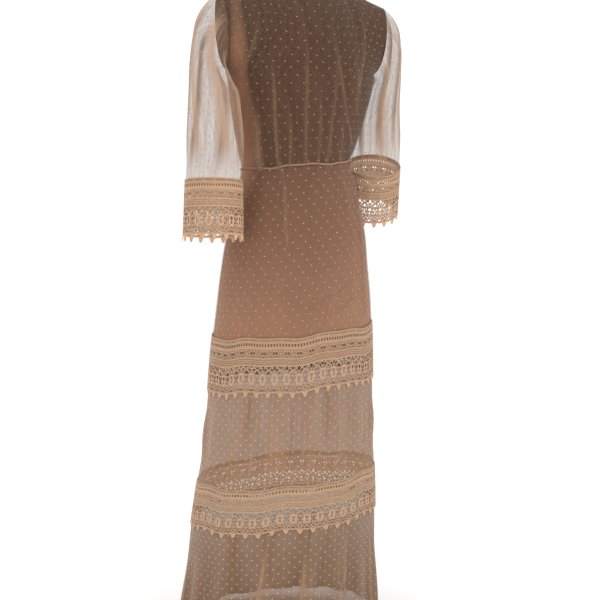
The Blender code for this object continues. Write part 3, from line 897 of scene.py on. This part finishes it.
# The lace repeat, in millimetres: x from the medallion's axis, down from the heading's top edge
CELL_WIDTH = 25.5
CELL_HEIGHT = 134.0
CELL_HALF = CELL_WIDTH / 2
Hole = namedtuple("Hole", "x down half_width half_height tilt corners")


def hole_row(places, down, half_width, half_height, corners):
    return [Hole(x, down, half_width, half_height, 0, corners) for x in places]


def hole_pair(x, down, half_width, half_height, tilt, corners):
    """Two gaps that mirror each other. The tilt is the left one's."""
    return [Hole(-x, down, half_width, half_height, tilt, corners),
            Hole(x, down, half_width, half_height, -tilt, corners)]


SIX_APART = (-10.6, -6.4, -2.1, 2.1, 6.4, 10.6)
HOLES = (
    *hole_row((-9.56, -3.19, 3.19, 9.56), 15.4, 1.05, 2.9, 8),
    *hole_row(SIX_APART, 26.0, 0.55, 0.7, 5),
    *hole_pair(3.1, 34.0, 1.9, 2.5, 12, 9),
    Hole(0, 41.3, 2.0, 1.15, 0, 8),
    *hole_pair(9.6, 36.5, 0.8, 0.9, 0, 6),
    Hole(CELL_HALF, 32.0, 0.9, 0.9, 0, 6),
    Hole(CELL_HALF, 40.5, 0.9, 0.9, 0, 6),
    *hole_row(SIX_APART, 48.3, 0.7, 0.7, 5),
    *hole_row((-8.5, -4.25, 0, 4.25, 8.5, CELL_HALF), 52.8, 0.7, 0.8, 5),
    *hole_row(SIX_APART, 57.3, 0.8, 0.9, 5),
    Hole(0, 66.3, 2.1, 3.5, 0, 10),
    *hole_pair(5.7, 70.8, 1.5, 2.6, -38, 9),
    Hole(CELL_HALF, 66.0, 1.5, 1.9, 0, 8),
    *hole_pair(9.4, 64.4, 0.9, 1.2, 20, 6),
    Hole(CELL_HALF, 76.6, 2.1, 2.8, 0, 9),
    *hole_pair(2.9, 76.6, 1.0, 1.5, 30, 6),
    *hole_pair(8.4, 78.6, 1.0, 1.4, 25, 6),
    Hole(0, 87.0, 2.3, 2.9, 0, 10),
    Hole(0, 96.6, 1.6, 2.0, 0, 8),
    Hole(CELL_HALF, 92.5, 0.95, 5.4, 0, 10),
    *hole_pair(8.7, 87.4, 0.85, 2.6, 6, 7),
    *hole_pair(8.4, 98.0, 1.0, 1.6, -10, 6),
    Hole(0, 106.2, 1.2, 1.0, 0, 6),
    *hole_pair(4.6, 108.8, 1.6, 1.3, 28, 7),
    *hole_pair(9.2, 105.8, 1.2, 1.2, 0, 6),
    Hole(CELL_HALF, 111.6, 1.1, 1.7, 0, 7),
    Hole(0, 115.6, 2.7, 1.9, 0, 9),
    *hole_pair(7.0, 116.0, 1.3, 1.1, -20, 6),
)
LATTICE_FOOT = 62
OPEN_ABOVE = 1.22
OPEN_BELOW = 1.34

# The lower edge from the medallion's axis to the tip of the pointed picot
EDGE = ((0.0, 122.8), (2.4, 123.0), (4.6, 122.6), (6.0, 121.9), (6.9, 122.4), (7.8, 124.6), (8.6, 127.6),
        (9.6, 130.8), (10.9, 133.1), (CELL_HALF, CELL_HEIGHT))
PICOTS = 118.5
CORD_LINES = (1.2, 8.2, 11.2, 20.0, 23.2, 44.6, 61.4)
CORD_HALF = 0.8
MEDALLION_DOWN = 91.6
MEDALLION_HALF_WIDTH = 5.3
MEDALLION_HALF_HEIGHT = 10.4
RIM = 0.825

# More points for the lace's mesh: down its sides, along its edges and cords, and over its ground
SIDE_PLACES = (28.8, 49.8, 59.0, 71.5, 81.5, 85.0, 101.0, 107.0, 116.0, 124.0, 129.0)
TOP_STEPS = 6
CORD_STEPS = 8
MEDALLION_STEPS = 20
GROUND_ROWS = 39
GROUND_PITCH = 3.3
GROUND_COLUMNS = 8
LACE_BASE = 0.0006
LACE_WALL = 0.0005
LACE_RELIEF = 0.0011
STRIP_ROWS = 4


def opened(hole):
    """A gap at its full size: those below the lattice are drawn wider open."""
    grow = OPEN_BELOW if hole.down > LATTICE_FOOT else OPEN_ABOVE
    return hole._replace(half_width=hole.half_width * grow, half_height=hole.half_height * grow)


def hole_points(hole, margin=0.0):
    """The outline of one gap, a rounded shape with its own tilt."""
    tilt = math.radians(hole.tilt)
    outline = []
    for corner in range(hole.corners):
        angle = TURN * (corner + 0.5) / hole.corners
        x = math.cos(angle) * (hole.half_width + margin)
        y = math.sin(angle) * (hole.half_height + margin)
        outline.append((hole.x + x * math.cos(tilt) - y * math.sin(tilt),
                        hole.down + x * math.sin(tilt) + y * math.cos(tilt)))
    return outline


def hole_distance(hole, x, down):
    """How far a place lies outside a gap, in millimetres, along the line to its middle."""
    tilt = math.radians(-hole.tilt)
    dx, dy = x - hole.x, down - hole.down
    u = (dx * math.cos(tilt) - dy * math.sin(tilt)) / hole.half_width
    v = (dx * math.sin(tilt) + dy * math.cos(tilt)) / hole.half_height
    reach = math.hypot(u, v)
    if reach < 1e-6:
        return -min(hole.half_width, hole.half_height)
    return math.hypot(dx, dy) * (1 - 1 / reach)


def periodic_holes():
    """Every gap that reaches into the repeat, with the neighbours' copies."""
    for hole in HOLES:
        for shift in (-CELL_WIDTH, 0.0, CELL_WIDTH):
            moved = opened(hole)._replace(x=hole.x + shift)
            if abs(moved.x) < CELL_HALF + 6:
                yield moved


def lower_edge(x):
    """The lace's lower edge at a place across the repeat."""
    x = min(abs(x), CELL_HALF)
    for (x0, y0), (x1, y1) in zip(EDGE, EDGE[1:]):
        if x <= x1:
            return mix(y0, y1, (x - x0) / (x1 - x0))
    return EDGE[-1][1]


def relief(x, down, holes):
    """How high the stitching stands at a place, from 0 at a gap's edge to 1 on a cord."""
    nearest = min(hole_distance(hole, x, down) for hole in holes)
    height = 0.55
    for line in CORD_LINES:
        height += 0.40 * math.exp(-((down - line) / CORD_HALF) ** 2)
    ring = abs(math.hypot(x / MEDALLION_HALF_WIDTH, (down - MEDALLION_DOWN) / MEDALLION_HALF_HEIGHT) - 1)
    height += 0.40 * math.exp(-((ring * 5.0) ** 2))
    rim = math.exp(-((nearest - 0.9) / 0.7) ** 2)
    height += 0.25 * rim
    height += 0.30 * eased((down - PICOTS) / 3)
    edge = lower_edge(x) - down
    height += 0.25 * math.exp(-((edge - 1.0) / 0.8) ** 2)
    return min(1.0, height) * eased((nearest + 0.25) / 0.8)


def cell_lines(holes):
    """The points of one repeat's mesh, and the edges that it has to keep."""
    points, edges = [], []

    def chain(outline, closed=True):
        start = len(points)
        points.extend(Vector(point) for point in outline)
        count = len(outline)
        for i in range(count if closed else count - 1):
            edges.append((start + i, start + (i + 1) % count))

    def level(down, steps):
        chain([(-CELL_HALF + CELL_WIDTH * i / steps, down) for i in range(steps + 1)], closed=False)

    for hole in holes:
        chain(hole_points(hole))
        chain(hole_points(hole, RIM))
    side = sorted((0.0, *CORD_LINES, *SIDE_PLACES, CELL_HEIGHT))
    for x in (-CELL_HALF, CELL_HALF):
        chain([(x, down) for down in side], closed=False)
    chain([(-x, down) for x, down in EDGE[:0:-1]] + list(EDGE), closed=False)
    level(0.0, TOP_STEPS)
    for line in CORD_LINES:
        for offset in (-CORD_HALF, 0.0, CORD_HALF):
            level(line + offset, CORD_STEPS)
    turns = [TURN * i / MEDALLION_STEPS for i in range(MEDALLION_STEPS)]
    chain([(MEDALLION_HALF_WIDTH * math.cos(turn), MEDALLION_DOWN + MEDALLION_HALF_HEIGHT * math.sin(turn))
           for turn in turns])
    for row in range(1, GROUND_ROWS + 1):
        for column in range(GROUND_COLUMNS):
            x = -CELL_HALF + CELL_WIDTH * (column + 0.5 * (row % 2) + 0.25) / GROUND_COLUMNS
            down = row * GROUND_PITCH
            clear = min(hole_distance(hole, x, down) for hole in holes)
            if clear > 1.3 and down < lower_edge(x) - 1.5 and abs(x) < CELL_HALF - 0.8:
                points.append(Vector((x, down)))
    return points, edges


def cell_mesh():
    """One repeat of the lace as flat points, triangles and reliefs, with its gaps left out."""
    holes = list(periodic_holes())
    points, edges = cell_lines(holes)
    flat, _, triangles, *_ = delaunay_2d_cdt(points, edges, [], 0, 1e-5)
    kept = []
    for triangle in triangles:
        x = sum(flat[i].x for i in triangle) / 3
        down = sum(flat[i].y for i in triangle) / 3
        if abs(x) > CELL_HALF or down < 0 or down > lower_edge(x):
            continue
        near = [hole for hole in holes if abs(hole.x - x) < 6 and abs(hole.down - down) < 7]
        if any(inside_outline(hole_points(hole), x, down) for hole in near):
            continue
        corner = [flat[i] for i in triangle]
        if (corner[1] - corner[0]).cross(corner[2] - corner[0]) < 0:
            triangle = triangle[::-1]
        kept.append(tuple(triangle))
    used = sorted({i for triangle in kept for i in triangle})
    number = {old: new for new, old in enumerate(used)}
    flat = [flat[i] for i in used]
    reliefs = [relief(point.x, point.y, holes) for point in flat]
    return flat, [tuple(number[i] for i in triangle) for triangle in kept], reliefs


def inside_outline(outline, x, y):
    inside = False
    for (x0, y0), (x1, y1) in zip(outline, outline[1:] + outline[:1]):
        if (y0 > y) != (y1 > y) and x < (x1 - x0) * (y - y0) / (y1 - y0) + x0:
            inside = not inside
    return inside


def lace_piece(name, cell, first, last, point_at):
    """Repeat the lace cell along a band. point_at takes repeats along, a share down and a lift."""
    flat, triangles, reliefs = cell
    borders = {pair for triangle in triangles for pair in zip(triangle, triangle[1:] + triangle[:1])}
    rims = sorted((a, b) for a, b in borders if (b, a) not in borders)
    side = {i for i, point in enumerate(flat) if abs(abs(point.x) - CELL_HALF) < 1e-3}

    def is_joint(a, b, sign):
        return a in side and b in side and flat[a].x * sign > 0 and flat[b].x * sign > 0

    points, cloth, faces, known = [], [], [], {}
    count = last - first
    for repeat in range(count):
        number = {}
        for layer in (0, 1):
            for i, point in enumerate(flat):
                key = (layer, repeat, i)
                if i in side:
                    key = (layer, "side", round(repeat + point.x / CELL_WIDTH + 0.5), round(point.y, 3))
                if key not in known:
                    along = first + repeat + point.x / CELL_WIDTH
                    lift = LACE_BASE + (LACE_WALL + LACE_RELIEF * reliefs[i] if layer else 0.0)
                    known[key] = len(points)
                    points.append(point_at(along, point.y / CELL_HEIGHT, lift))
                    cloth.append((along * CELL_WIDTH * MM, point.y * MM, reliefs[i]))
                number[(layer, i)] = known[key]
        for a, b, c in triangles:
            faces.append((number[(1, a)], number[(1, b)], number[(1, c)]))
            faces.append((number[(0, c)], number[(0, b)], number[(0, a)]))
        for a, b in rims:
            joined = repeat > 0 and is_joint(a, b, -1) or repeat < count - 1 and is_joint(a, b, 1)
            if not joined:
                faces.append((number[(1, b)], number[(1, a)], number[(0, a)], number[(0, b)]))
    return add_mesh(name, points, faces, cloth)


def strip_rows(point_at, first, last):
    """The plain strip that a lace piece is cut from, as rows of points."""
    count = (last - first) * 3
    return [[point_at(mix(first, last, i / count), row / STRIP_ROWS, LACE_BASE) for i in range(count + 1)]
            for row in range(STRIP_ROWS + 1)]


def colour_of(name, description, default):
    return FloatVectorProperty(name=name, description=description, subtype="COLOR", default=default,
                               min=0, max=1)


def share_of(name, description, default):
    return FloatProperty(name=name, description=description, default=default, min=0, max=1, subtype="FACTOR")


def size_of(name, description, default, least):
    return FloatProperty(name=name, description=description, default=default, min=least, unit="LENGTH")


def power_of(name, description, default):
    return FloatProperty(name=name, description=description, default=default, min=0, unit="POWER")


class DressNet(bpy.types.PropertyGroup):
    """Sizes and colours of the dotted net. The bodice and hip net, the bodice and hip dots and the hem net
    are darkened copies, painted with shade.
    """

    bodice_tint: colour_of("Net", "Colour of the net in the bodice and over the hips", NET_TINT)
    sleeve_tint: colour_of("Sleeve net", "Colour of the net in the sleeves", SLEEVE_TINT)
    tier_tint: colour_of("Tier net", "Colour of the net in the skirt's sheer tiers", TIER_TINT)
    hem_tint: colour_of("Hem net", "Colour of the net towards the hem", HEM_SHADE_TINT)
    dot_tint: colour_of("Dots", "Colour of the woven dots", DOT_TINT)
    hip_dot_tint: colour_of("Hip dots", "Colour of the woven dots over the hips", HIP_DOT_TINT)
    tier_dot_tint: colour_of("Tier dots", "Colour of the woven dots in the tiers", TIER_DOT_TINT)
    opacity: share_of("Opacity", "How much of the bodice net is thread", 0.30)
    sleeve_opacity: share_of("Sleeve opacity", "How much of the sleeve net is thread", 0.36)
    sleeve_uneven: FloatProperty(name="Sleeve streaks", description="How unevenly the sleeve net lies",
                                 default=2.2, min=0)
    tier_opacity: share_of("Tier opacity", "How much of the tiers' net is thread", 0.74)
    mesh_size: size_of("Mesh", "Size of the net's holes", 0.0016, 0.0004)
    dot_size: size_of("Dot", "Half the width of a woven dot", 0.0016, 0.0004)


class DressLining(bpy.types.PropertyGroup):
    """Colours and sizes of the slip lining. The colours are painted shade, darker higher up."""

    top: colour_of("Bodice", "Colour behind the bodice", LINING_TOP)
    waist: colour_of("Waist", "Colour just above the waist", LINING_WAIST)
    hip: colour_of("Hips", "Colour at the hips", LINING_HIP)
    low: colour_of("Hem", "Colour at the lining's hem", LINING_LOW)
    sink: size_of("Depth", "How far the lining lies inside the net", 0.0018, 0.001)
    wall: size_of("Thickness", "Thickness of the lining cloth", 0.0006, 0.0002)


class DressLace(bpy.types.PropertyGroup):
    """Counts and colour of the lace."""

    thread: colour_of("Lace", "Colour of the guipure lace", LACE_TINT)
    repeats: IntProperty(name="Repeats", description="Lace repeats round the skirt", default=REPEATS, min=8)
    cuff_repeats: IntProperty(name="Cuff repeats", description="Lace repeats round a cuff",
                              default=CUFF_REPEATS, min=4)


class DressStage(bpy.types.PropertyGroup):
    """The floor, the light and the camera."""

    floor: colour_of("Floor", "Colour of the floor", (0.92, 0.92, 0.92))
    ambient: FloatProperty(name="Room light", description="Strength of the light from all round",
                           default=1.12, min=0)
    window: power_of("Window", "Power of the large soft light beyond the dress", 22.0)
    fill: power_of("Fill", "Power of the soft light beside the camera", 7.0)
    distance: size_of("Distance", "From the camera to the dress", 3.0, 0.5)
    azimuth: FloatProperty(name="Azimuth", description="Direction of the camera round the dress",
                           default=math.radians(162.5), subtype="ANGLE")
    lens: FloatProperty(name="Lens", description="Focal length in millimetres", default=76.6, min=10)


class DRESS_OT_trims(bpy.types.Operator):
    """Make the corded casing over the waist seam and the binding round the neck"""

    bl_idname = "dress.trims"
    bl_label = "Trims"

    def execute(self, context):
        material = trim_finish("trim_folded", TRIM_TINT)
        for name, rows, wall, node, rests_on in (
                ("casing_waist", self.casing_rows(), CASING_WALL, "waist_casing", "net_skirt_upper_back"),
                ("binding_neck", self.binding_rows(), BINDING_WALL, "neck_binding", "net_bodice_back")):
            piece = solid_piece(name, rows, wall, material, "trim", node, closed=True)
            cut_sheet(piece, whole_round(rows), layers=2)
        return {"FINISHED"}

    def casing_rows(self):
        rows = []
        for height, proud in CASING_PROFILE:
            row = []
            for column in range(CASING_COLUMNS):
                angle = TURN * column / CASING_COLUMNS
                ruche = 0.0004 * math.sin(90 * angle + 3 * math.sin(11 * angle))
                wave = 0.0022 * math.sin(5 * angle + 0.6) + 0.0010 * math.sin(12 * angle)
                row.append(body_point(angle, height + wave, proud + ruche))
            rows.append(row)
        return rows

    def binding_rows(self):
        """Rows that wrap the neck's edge, each way out of it smoothed along the edge."""
        points, ways = [], []
        for panel in PANELS:
            for step in range(NECK_STEPS):
                share = mix(SHOULDER_SHARE, 1 - SHOULDER_SHARE, step / NECK_STEPS)
                points.append(yoke_point(panel, share, 1.0))
                ways.append((points[-1] - yoke_point(panel, share, 0.9)).normalized())
        around = len(ways)
        reach = range(-NECK_SMOOTHING, NECK_SMOOTHING + 1)
        smooth = [sum((ways[(i + step) % around] for step in reach), Vector()).normalized()
                  for i in range(around)]
        centre = sum(points, Vector()) / around
        rows = []
        for step in range(BINDING_ROWS + 1):
            angle = BINDING_TURN * (step / BINDING_ROWS - 0.5)
            out = BINDING_HEIGHT * math.cos(angle) - BINDING_SEAT
            row = []
            for point, away in zip(points, smooth):
                inward = centre - point
                inward = (inward - away * inward.dot(away)).normalized()
                row.append(point + away * out + inward * BINDING_DEPTH * math.sin(angle))
            rows.append(row)
        return rows


class DRESS_OT_lining(bpy.types.Operator):
    """Make the slip lining, bodice and skirt, back and front"""

    bl_idname = "dress.lining"
    bl_label = "Lining"

    def execute(self, context):
        settings = context.scene.dress_lining
        bodice = lining_finish("lining_bodice", 0.0, UNDERARM, settings.waist, settings.top, GLOW_ABOVE)
        skirt = lining_finish("lining_skirt", LINING_HEM, 0.0, settings.low, settings.hip, GLOW_BELOW)
        for panel in PANELS:
            for part, rows, finish, rests_on in (
                    ("bodice", self.bodice_rows(panel, settings.sink), bodice, "net_bodice"),
                    ("skirt", self.skirt_rows(panel, settings.sink), skirt, "slip_bodice")):
                piece = solid_piece(f"slip_{part}_{panel.name}", rows, settings.wall, finish, "lining",
                                    f"lining_{part}_{panel.name}")
                cut_sheet(piece, rows, layers=2)
        return {"FINISHED"}

    def bodice_rows(self, panel, sink):
        return [[bodice_point(panel, column / LINING_COLUMNS, 2 * row / LINING_ROWS, sink, creased=False)[0]
                 for column in range(LINING_COLUMNS + 1)] for row in range(LINING_ROWS + 1)]

    def skirt_rows(self, panel, sink):
        """Rows from the hem up, with a slight ripple that grows towards the hem."""
        rows = []
        for step in range(LINING_SKIRT_ROWS, -1, -1):
            height = mix(0.0, LINING_HEM, step / LINING_SKIRT_ROWS)
            row = []
            for column in range(LINING_COLUMNS + 1):
                angle = panel.start + math.pi * column / LINING_COLUMNS
                ripple = 0.0012 * math.sin(9 * angle + 2) * eased(-height / 0.4)
                row.append(body_point(angle, height, -sink - abs(ripple)))
            rows.append(row)
        return rows


class DRESS_OT_bodice(bpy.types.Operator):
    """Make the gathered net bodice, back and front, with its woven dots"""

    bl_idname = "dress.bodice"
    bl_label = "Bodice"

    def execute(self, context):
        settings = context.scene.dress_net
        net = net_finish("net_bodice", settings.bodice_tint, settings.opacity, settings.mesh_size)
        dots = dot_finish("net_dots", settings.dot_tint)
        places = self.places()
        for panel in PANELS:

            def surface(across, down):
                return bodice_point(panel, min(1.0, max(0.0, across)), min(2.0, max(0.0, down)),
                                    -NET_STAND - DOT_STAND)[0]

            rows, folds = [], []
            for step in range(BODICE_ROWS + 1):
                line = [bodice_point(panel, column / BODICE_COLUMNS, 2 * step / BODICE_ROWS, -NET_STAND)
                        for column in range(BODICE_COLUMNS + 1)]
                rows.append([point for point, _ in line])
                folds.append(with_seams([lift / BODICE_CREASE_FULL for _, lift in line]))
            piece = grid_piece(f"net_bodice_{panel.name}", rows, folds)
            dress_piece(piece, net, "net", f"bodice_{panel.name}")
            spots = dots_piece(f"dots_bodice_{panel.name}", surface, places, dots, settings.dot_size)
            cut_sheet(piece, rows)
        return {"FINISHED"}

    def places(self):
        """Where the bodice's dots lie, in staggered rows from the waist up."""
        found = []
        for row in range(BODICE_DOT_ROWS):
            up = BODICE_DOT_START + row * DOT_DOWN / UNDERARM
            for column in range(-BODICE_DOT_COLUMNS, BODICE_DOT_COLUMNS + 1):
                share = 0.5 + (column + 0.5 * (row % 2)) * DOT_ACROSS / BODICE_ARC
                if 0.03 < share < 0.97:
                    found.append((share, up))
        return found


class DRESS_OT_skirt(bpy.types.Operator):
    """Make the skirt's three net tiers, back and front, with their woven dots"""

    bl_idname = "dress.skirt"
    bl_label = "Skirt"

    def execute(self, context):
        settings = context.scene.dress_net
        sheer = net_finish("net_tier", settings.tier_tint, settings.tier_opacity, settings.mesh_size)
        # Painted shade: the lower tier takes a darkened copy of the tier net
        hem = net_finish("net_hem", [channel * HEM_NET_SHADE for channel in settings.tier_tint],
                         settings.tier_opacity, settings.mesh_size, settings.hem_tint)
        dots = dot_finish("net_dots_tier", settings.tier_dot_tint)
        hip_dots = dot_finish("net_dots_hip", settings.hip_dot_tint)
        finishes = ((bpy.data.materials["net_bodice"], hip_dots), (sheer, dots), (hem, dots))
        above = ("casing_waist", "lace_band_upper_{}", "lace_band_lower_{}")
        for tier, (net, spot), rests_on in zip(TIERS, finishes, above):
            for panel in PANELS:
                rows, folds = [], []
                for step in range(tier.rows + 1):
                    height = mix(tier.foot, tier.top, step / tier.rows)
                    angles = [panel.start + math.pi * column / tier.columns
                              for column in range(tier.columns + 1)]
                    rows.append([self.surface(angle, height) for angle in angles])
                    folds.append(with_seams([fold_share(angle, height) for angle in angles]))
                piece = grid_piece(f"net_{tier.name}_{panel.name}", rows, folds)
                dress_piece(piece, net, "net", f"{tier.name}_{panel.name}")
                spots = dots_piece(f"dots_{tier.name}_{panel.name}", self.dot_surface,
                                   self.places(tier, panel), spot, settings.dot_size)
                cut_sheet(piece, rows)
        return {"FINISHED"}

    def surface(self, angle, height, extra=0.0):
        return body_point(angle, height, skirt_lift(angle, height) + NET_STAND + extra)

    def dot_surface(self, angle, height):
        return self.surface(angle, height, DOT_STAND)

    def places(self, tier, panel):
        """Where a tier's dots lie: staggered rows, on the bias in the upper skirt."""
        found = []
        biased = tier.top == 0
        height = tier.top - 0.008
        row = 0
        while height > tier.foot + LAP:
            section = section_at(height)
            depth = section.back if panel is BACK else section.front
            arc = math.pi * math.sqrt((section.half_width**2 + depth**2) / 2)
            slant = BIAS * row if biased else 0.5 * (row % 2)
            count = int(arc / tier.across) + 2
            for column in range(-count, count):
                share = 0.5 + (column + slant % 1.0) * tier.across / arc
                if 0.01 < share < 0.99:
                    found.append((panel.start + math.pi * share, height))
            height -= tier.down * (BIAS_ROW_SHARE if biased else 1.0)
            row += 1
        return found


class DRESS_OT_sleeves(bpy.types.Operator):
    """Make both net sleeves with their woven dots"""

    bl_idname = "dress.sleeves"
    bl_label = "Sleeves"

    def execute(self, context):
        settings = context.scene.dress_net
        net = net_finish("net_sleeve", settings.sleeve_tint, settings.sleeve_opacity, settings.mesh_size,
                         uneven=settings.sleeve_uneven)
        last = len(SLEEVE_HEAD_STEPS) + 2
        for arm in ARM_SIGN:

            def surface(angle, down, extra=0.0):
                elbow = SLEEVES[arm][1]
                outward = (ring_point(arm, elbow, angle, 1.0) - ring_point(arm, elbow, angle)).normalized()
                lift = sleeve_lift(arm, angle, down) + NET_STAND + extra
                return through(sleeve_line(arm, angle), down * last) + outward * lift

            def dot_surface(angle, down):
                return surface(angle, down, DOT_STAND)

            rows, folds = [], []
            angles = [TURN * column / SLEEVE_COLUMNS for column in range(SLEEVE_COLUMNS)]
            for step in range(SLEEVE_ROWS + 1):
                down = step / SLEEVE_ROWS
                rows.append([surface(angle, down) for angle in angles])
                folds.append([sleeve_lift(arm, angle, down) / SLEEVE_FOLD_FULL for angle in angles])
            piece = grid_piece(f"net_sleeve_{arm}", rows, folds, closed=True)
            dress_piece(piece, net, "net", f"sleeve_{arm}")
            places = spread(self.places(), surface, SLEEVE_DOT_PITCH)
            spots = dots_piece(f"dots_sleeve_{arm}", dot_surface, places, bpy.data.materials["net_dots"],
                               settings.dot_size)
            cut_sheet(piece, whole_round(rows))
        return {"FINISHED"}

    def places(self):
        """Where the dots lie round a sleeve and down it, in staggered rows that stop at the cuff."""
        found = []
        for row in range(SLEEVE_DOT_ROWS):
            down = SLEEVE_DOT_START + row * SLEEVE_DOT_STEP
            for column in range(SLEEVE_DOT_COLUMNS):
                if down < CUFF_TOP_SHARE:
                    found.append((TURN * (column + 0.5 * (row % 2)) / SLEEVE_DOT_COLUMNS, down))
        return found


class DRESS_OT_lace(bpy.types.Operator):
    """Make the lace bands of the skirt and the lace cuffs"""

    bl_idname = "dress.lace"
    bl_label = "Lace"

    def execute(self, context):
        settings = context.scene.dress_lace
        self.material = lace_finish("lace_guipure", settings.thread)
        self.cell = cell_mesh()
        for band, net in zip(BANDS, ("net_skirt_upper", "net_skirt_middle")):

            def band_point(along, down, lift):
                angle = TURN * along / settings.repeats
                height = mix(band.top, band.tip, down) + band_wave(angle, band.top)
                return body_point(angle, height, lift + 0.0010 * (1 + math.sin(13 * angle)) * down)

            for number, panel in enumerate(PANELS):
                self.half(f"{band.name}_{panel.name}", band_point, number, settings.repeats // 2,
                          f"{net}_{panel.name}")
        for arm, sign in ARM_SIGN.items():
            top, tip = SLEEVES[arm][2:]

            def cuff_point(along, down, lift):
                angle = sign * TURN * along / settings.cuff_repeats
                return mix(ring_point(arm, top, angle, lift), ring_point(arm, tip, angle, lift), down)

            for number, panel in enumerate(PANELS[::sign]):
                self.half(f"cuff_{arm}_{panel.name}", cuff_point, number, settings.cuff_repeats // 2,
                          f"net_sleeve_{arm}")
        return {"FINISHED"}

    def half(self, node, point_at, number, repeats, rests_on):
        first, last = number * repeats, (number + 1) * repeats
        piece = lace_piece(f"lace_{node}", self.cell, first, last, point_at)
        dress_piece(piece, self.material, "lace", node)
        rows = strip_rows(point_at, first, last)
        flat = (round(max(line_length(row) for row in rows), 3),
                round(line_length([row[0] for row in rows]), 3))


class DRESS_OT_stage(bpy.types.Operator):
    """Make the pale floor, the soft light and the camera"""

    bl_idname = "dress.stage"
    bl_label = "Stage"

    def execute(self, context):
        settings = context.scene.dress_stage
        self.make_floor(context, settings.floor)
        world = bpy.data.worlds.new("Studio")
        world.use_nodes = True
        background = world.node_tree.nodes["Background"]
        background.inputs["Color"].default_value = (1.0, 1.0, 1.0, 1.0)
        background.inputs["Strength"].default_value = settings.ambient
        context.scene.world = world

        right = Vector((math.cos(settings.azimuth), math.sin(settings.azimuth), 0))
        away = Vector((math.sin(settings.azimuth), -math.cos(settings.azimuth), 0))
        target = Vector((0, 0, LOOK_HEIGHT)) + right * LOOK_SIDE
        for light, power in ((WINDOW, settings.window), (FILL, settings.fill)):
            data = bpy.data.lights.new(light.name, "AREA")
            data.energy = power
            data.size = light.size
            place = target + away * light.away + right * light.right + Vector((0, 0, light.up))
            self.aim(context, data, place, target)
        data = bpy.data.cameras.new("camera")
        data.lens = settings.lens
        place = target + away * settings.distance + Vector((0, 0, CAMERA_HEIGHT - target.z))
        context.scene.camera = self.aim(context, data, place, target)
        context.scene.view_settings.view_transform = "Standard"
        return {"FINISHED"}

    def make_floor(self, context, tint):
        bpy.ops.mesh.primitive_plane_add(size=FLOOR_SIZE, location=(0, 0, CAD_BOX[0].z))
        floor = context.object
        floor.name = "floor"
        finish = Finish("floor_paper", 0.9, Specular_IOR_Level=0.1)
        grain = finish.cloud(finish.node("TexCoord", output=3), 1.5, 2.0)
        finish.feed("Base Color", finish.mixed(grain, rgba(tint, 0.985), rgba(tint, 1.015)))
        floor.data.materials.append(finish.material)

    def aim(self, context, data, place, target):
        """Put a light or the camera at its place, turned towards the target."""
        thing = bpy.data.objects.new(data.name, data)
        context.scene.collection.objects.link(thing)
        thing.location = place
        thing.rotation_euler = (target - place).to_track_quat("-Z", "Y").to_euler()
        return thing


class DRESS_PT_panel(bpy.types.Panel):
    """The dress's pieces, in the 3D view's sidebar"""

    bl_idname = "DRESS_PT_panel"
    bl_label = "Lace dress"
    bl_space_type = "VIEW_3D"
    bl_region_type = "UI"
    bl_category = "Lace dress"

    def draw(self, context):
        scene = context.scene
        for group in (scene.dress_net, scene.dress_lining, scene.dress_lace, scene.dress_stage):
            box = self.layout.box()
            for name in group.__annotations__:
                box.prop(group, name)
        for operator in OPERATORS:
            self.layout.operator(operator.bl_idname)


GROUPS = {"dress_net": DressNet, "dress_lining": DressLining, "dress_lace": DressLace,
          "dress_stage": DressStage}
OPERATORS = (DRESS_OT_trims, DRESS_OT_lining, DRESS_OT_bodice, DRESS_OT_skirt, DRESS_OT_sleeves,
             DRESS_OT_lace, DRESS_OT_stage)


def register():
    for name, group in GROUPS.items():
        bpy.utils.register_class(group)
        setattr(bpy.types.Scene, name, PointerProperty(type=group))
    for cls in (*OPERATORS, DRESS_PT_panel):
        bpy.utils.register_class(cls)


def unregister():
    for cls in (DRESS_PT_panel, *reversed(OPERATORS)):
        bpy.utils.unregister_class(cls)
    for name, group in GROUPS.items():
        delattr(bpy.types.Scene, name)
        bpy.utils.unregister_class(group)


def main():
    register()
    for operator in OPERATORS:
        family, name = operator.bl_idname.split(".")
        getattr(getattr(bpy.ops, family), name)()


if __name__ == "__main__":
    main()
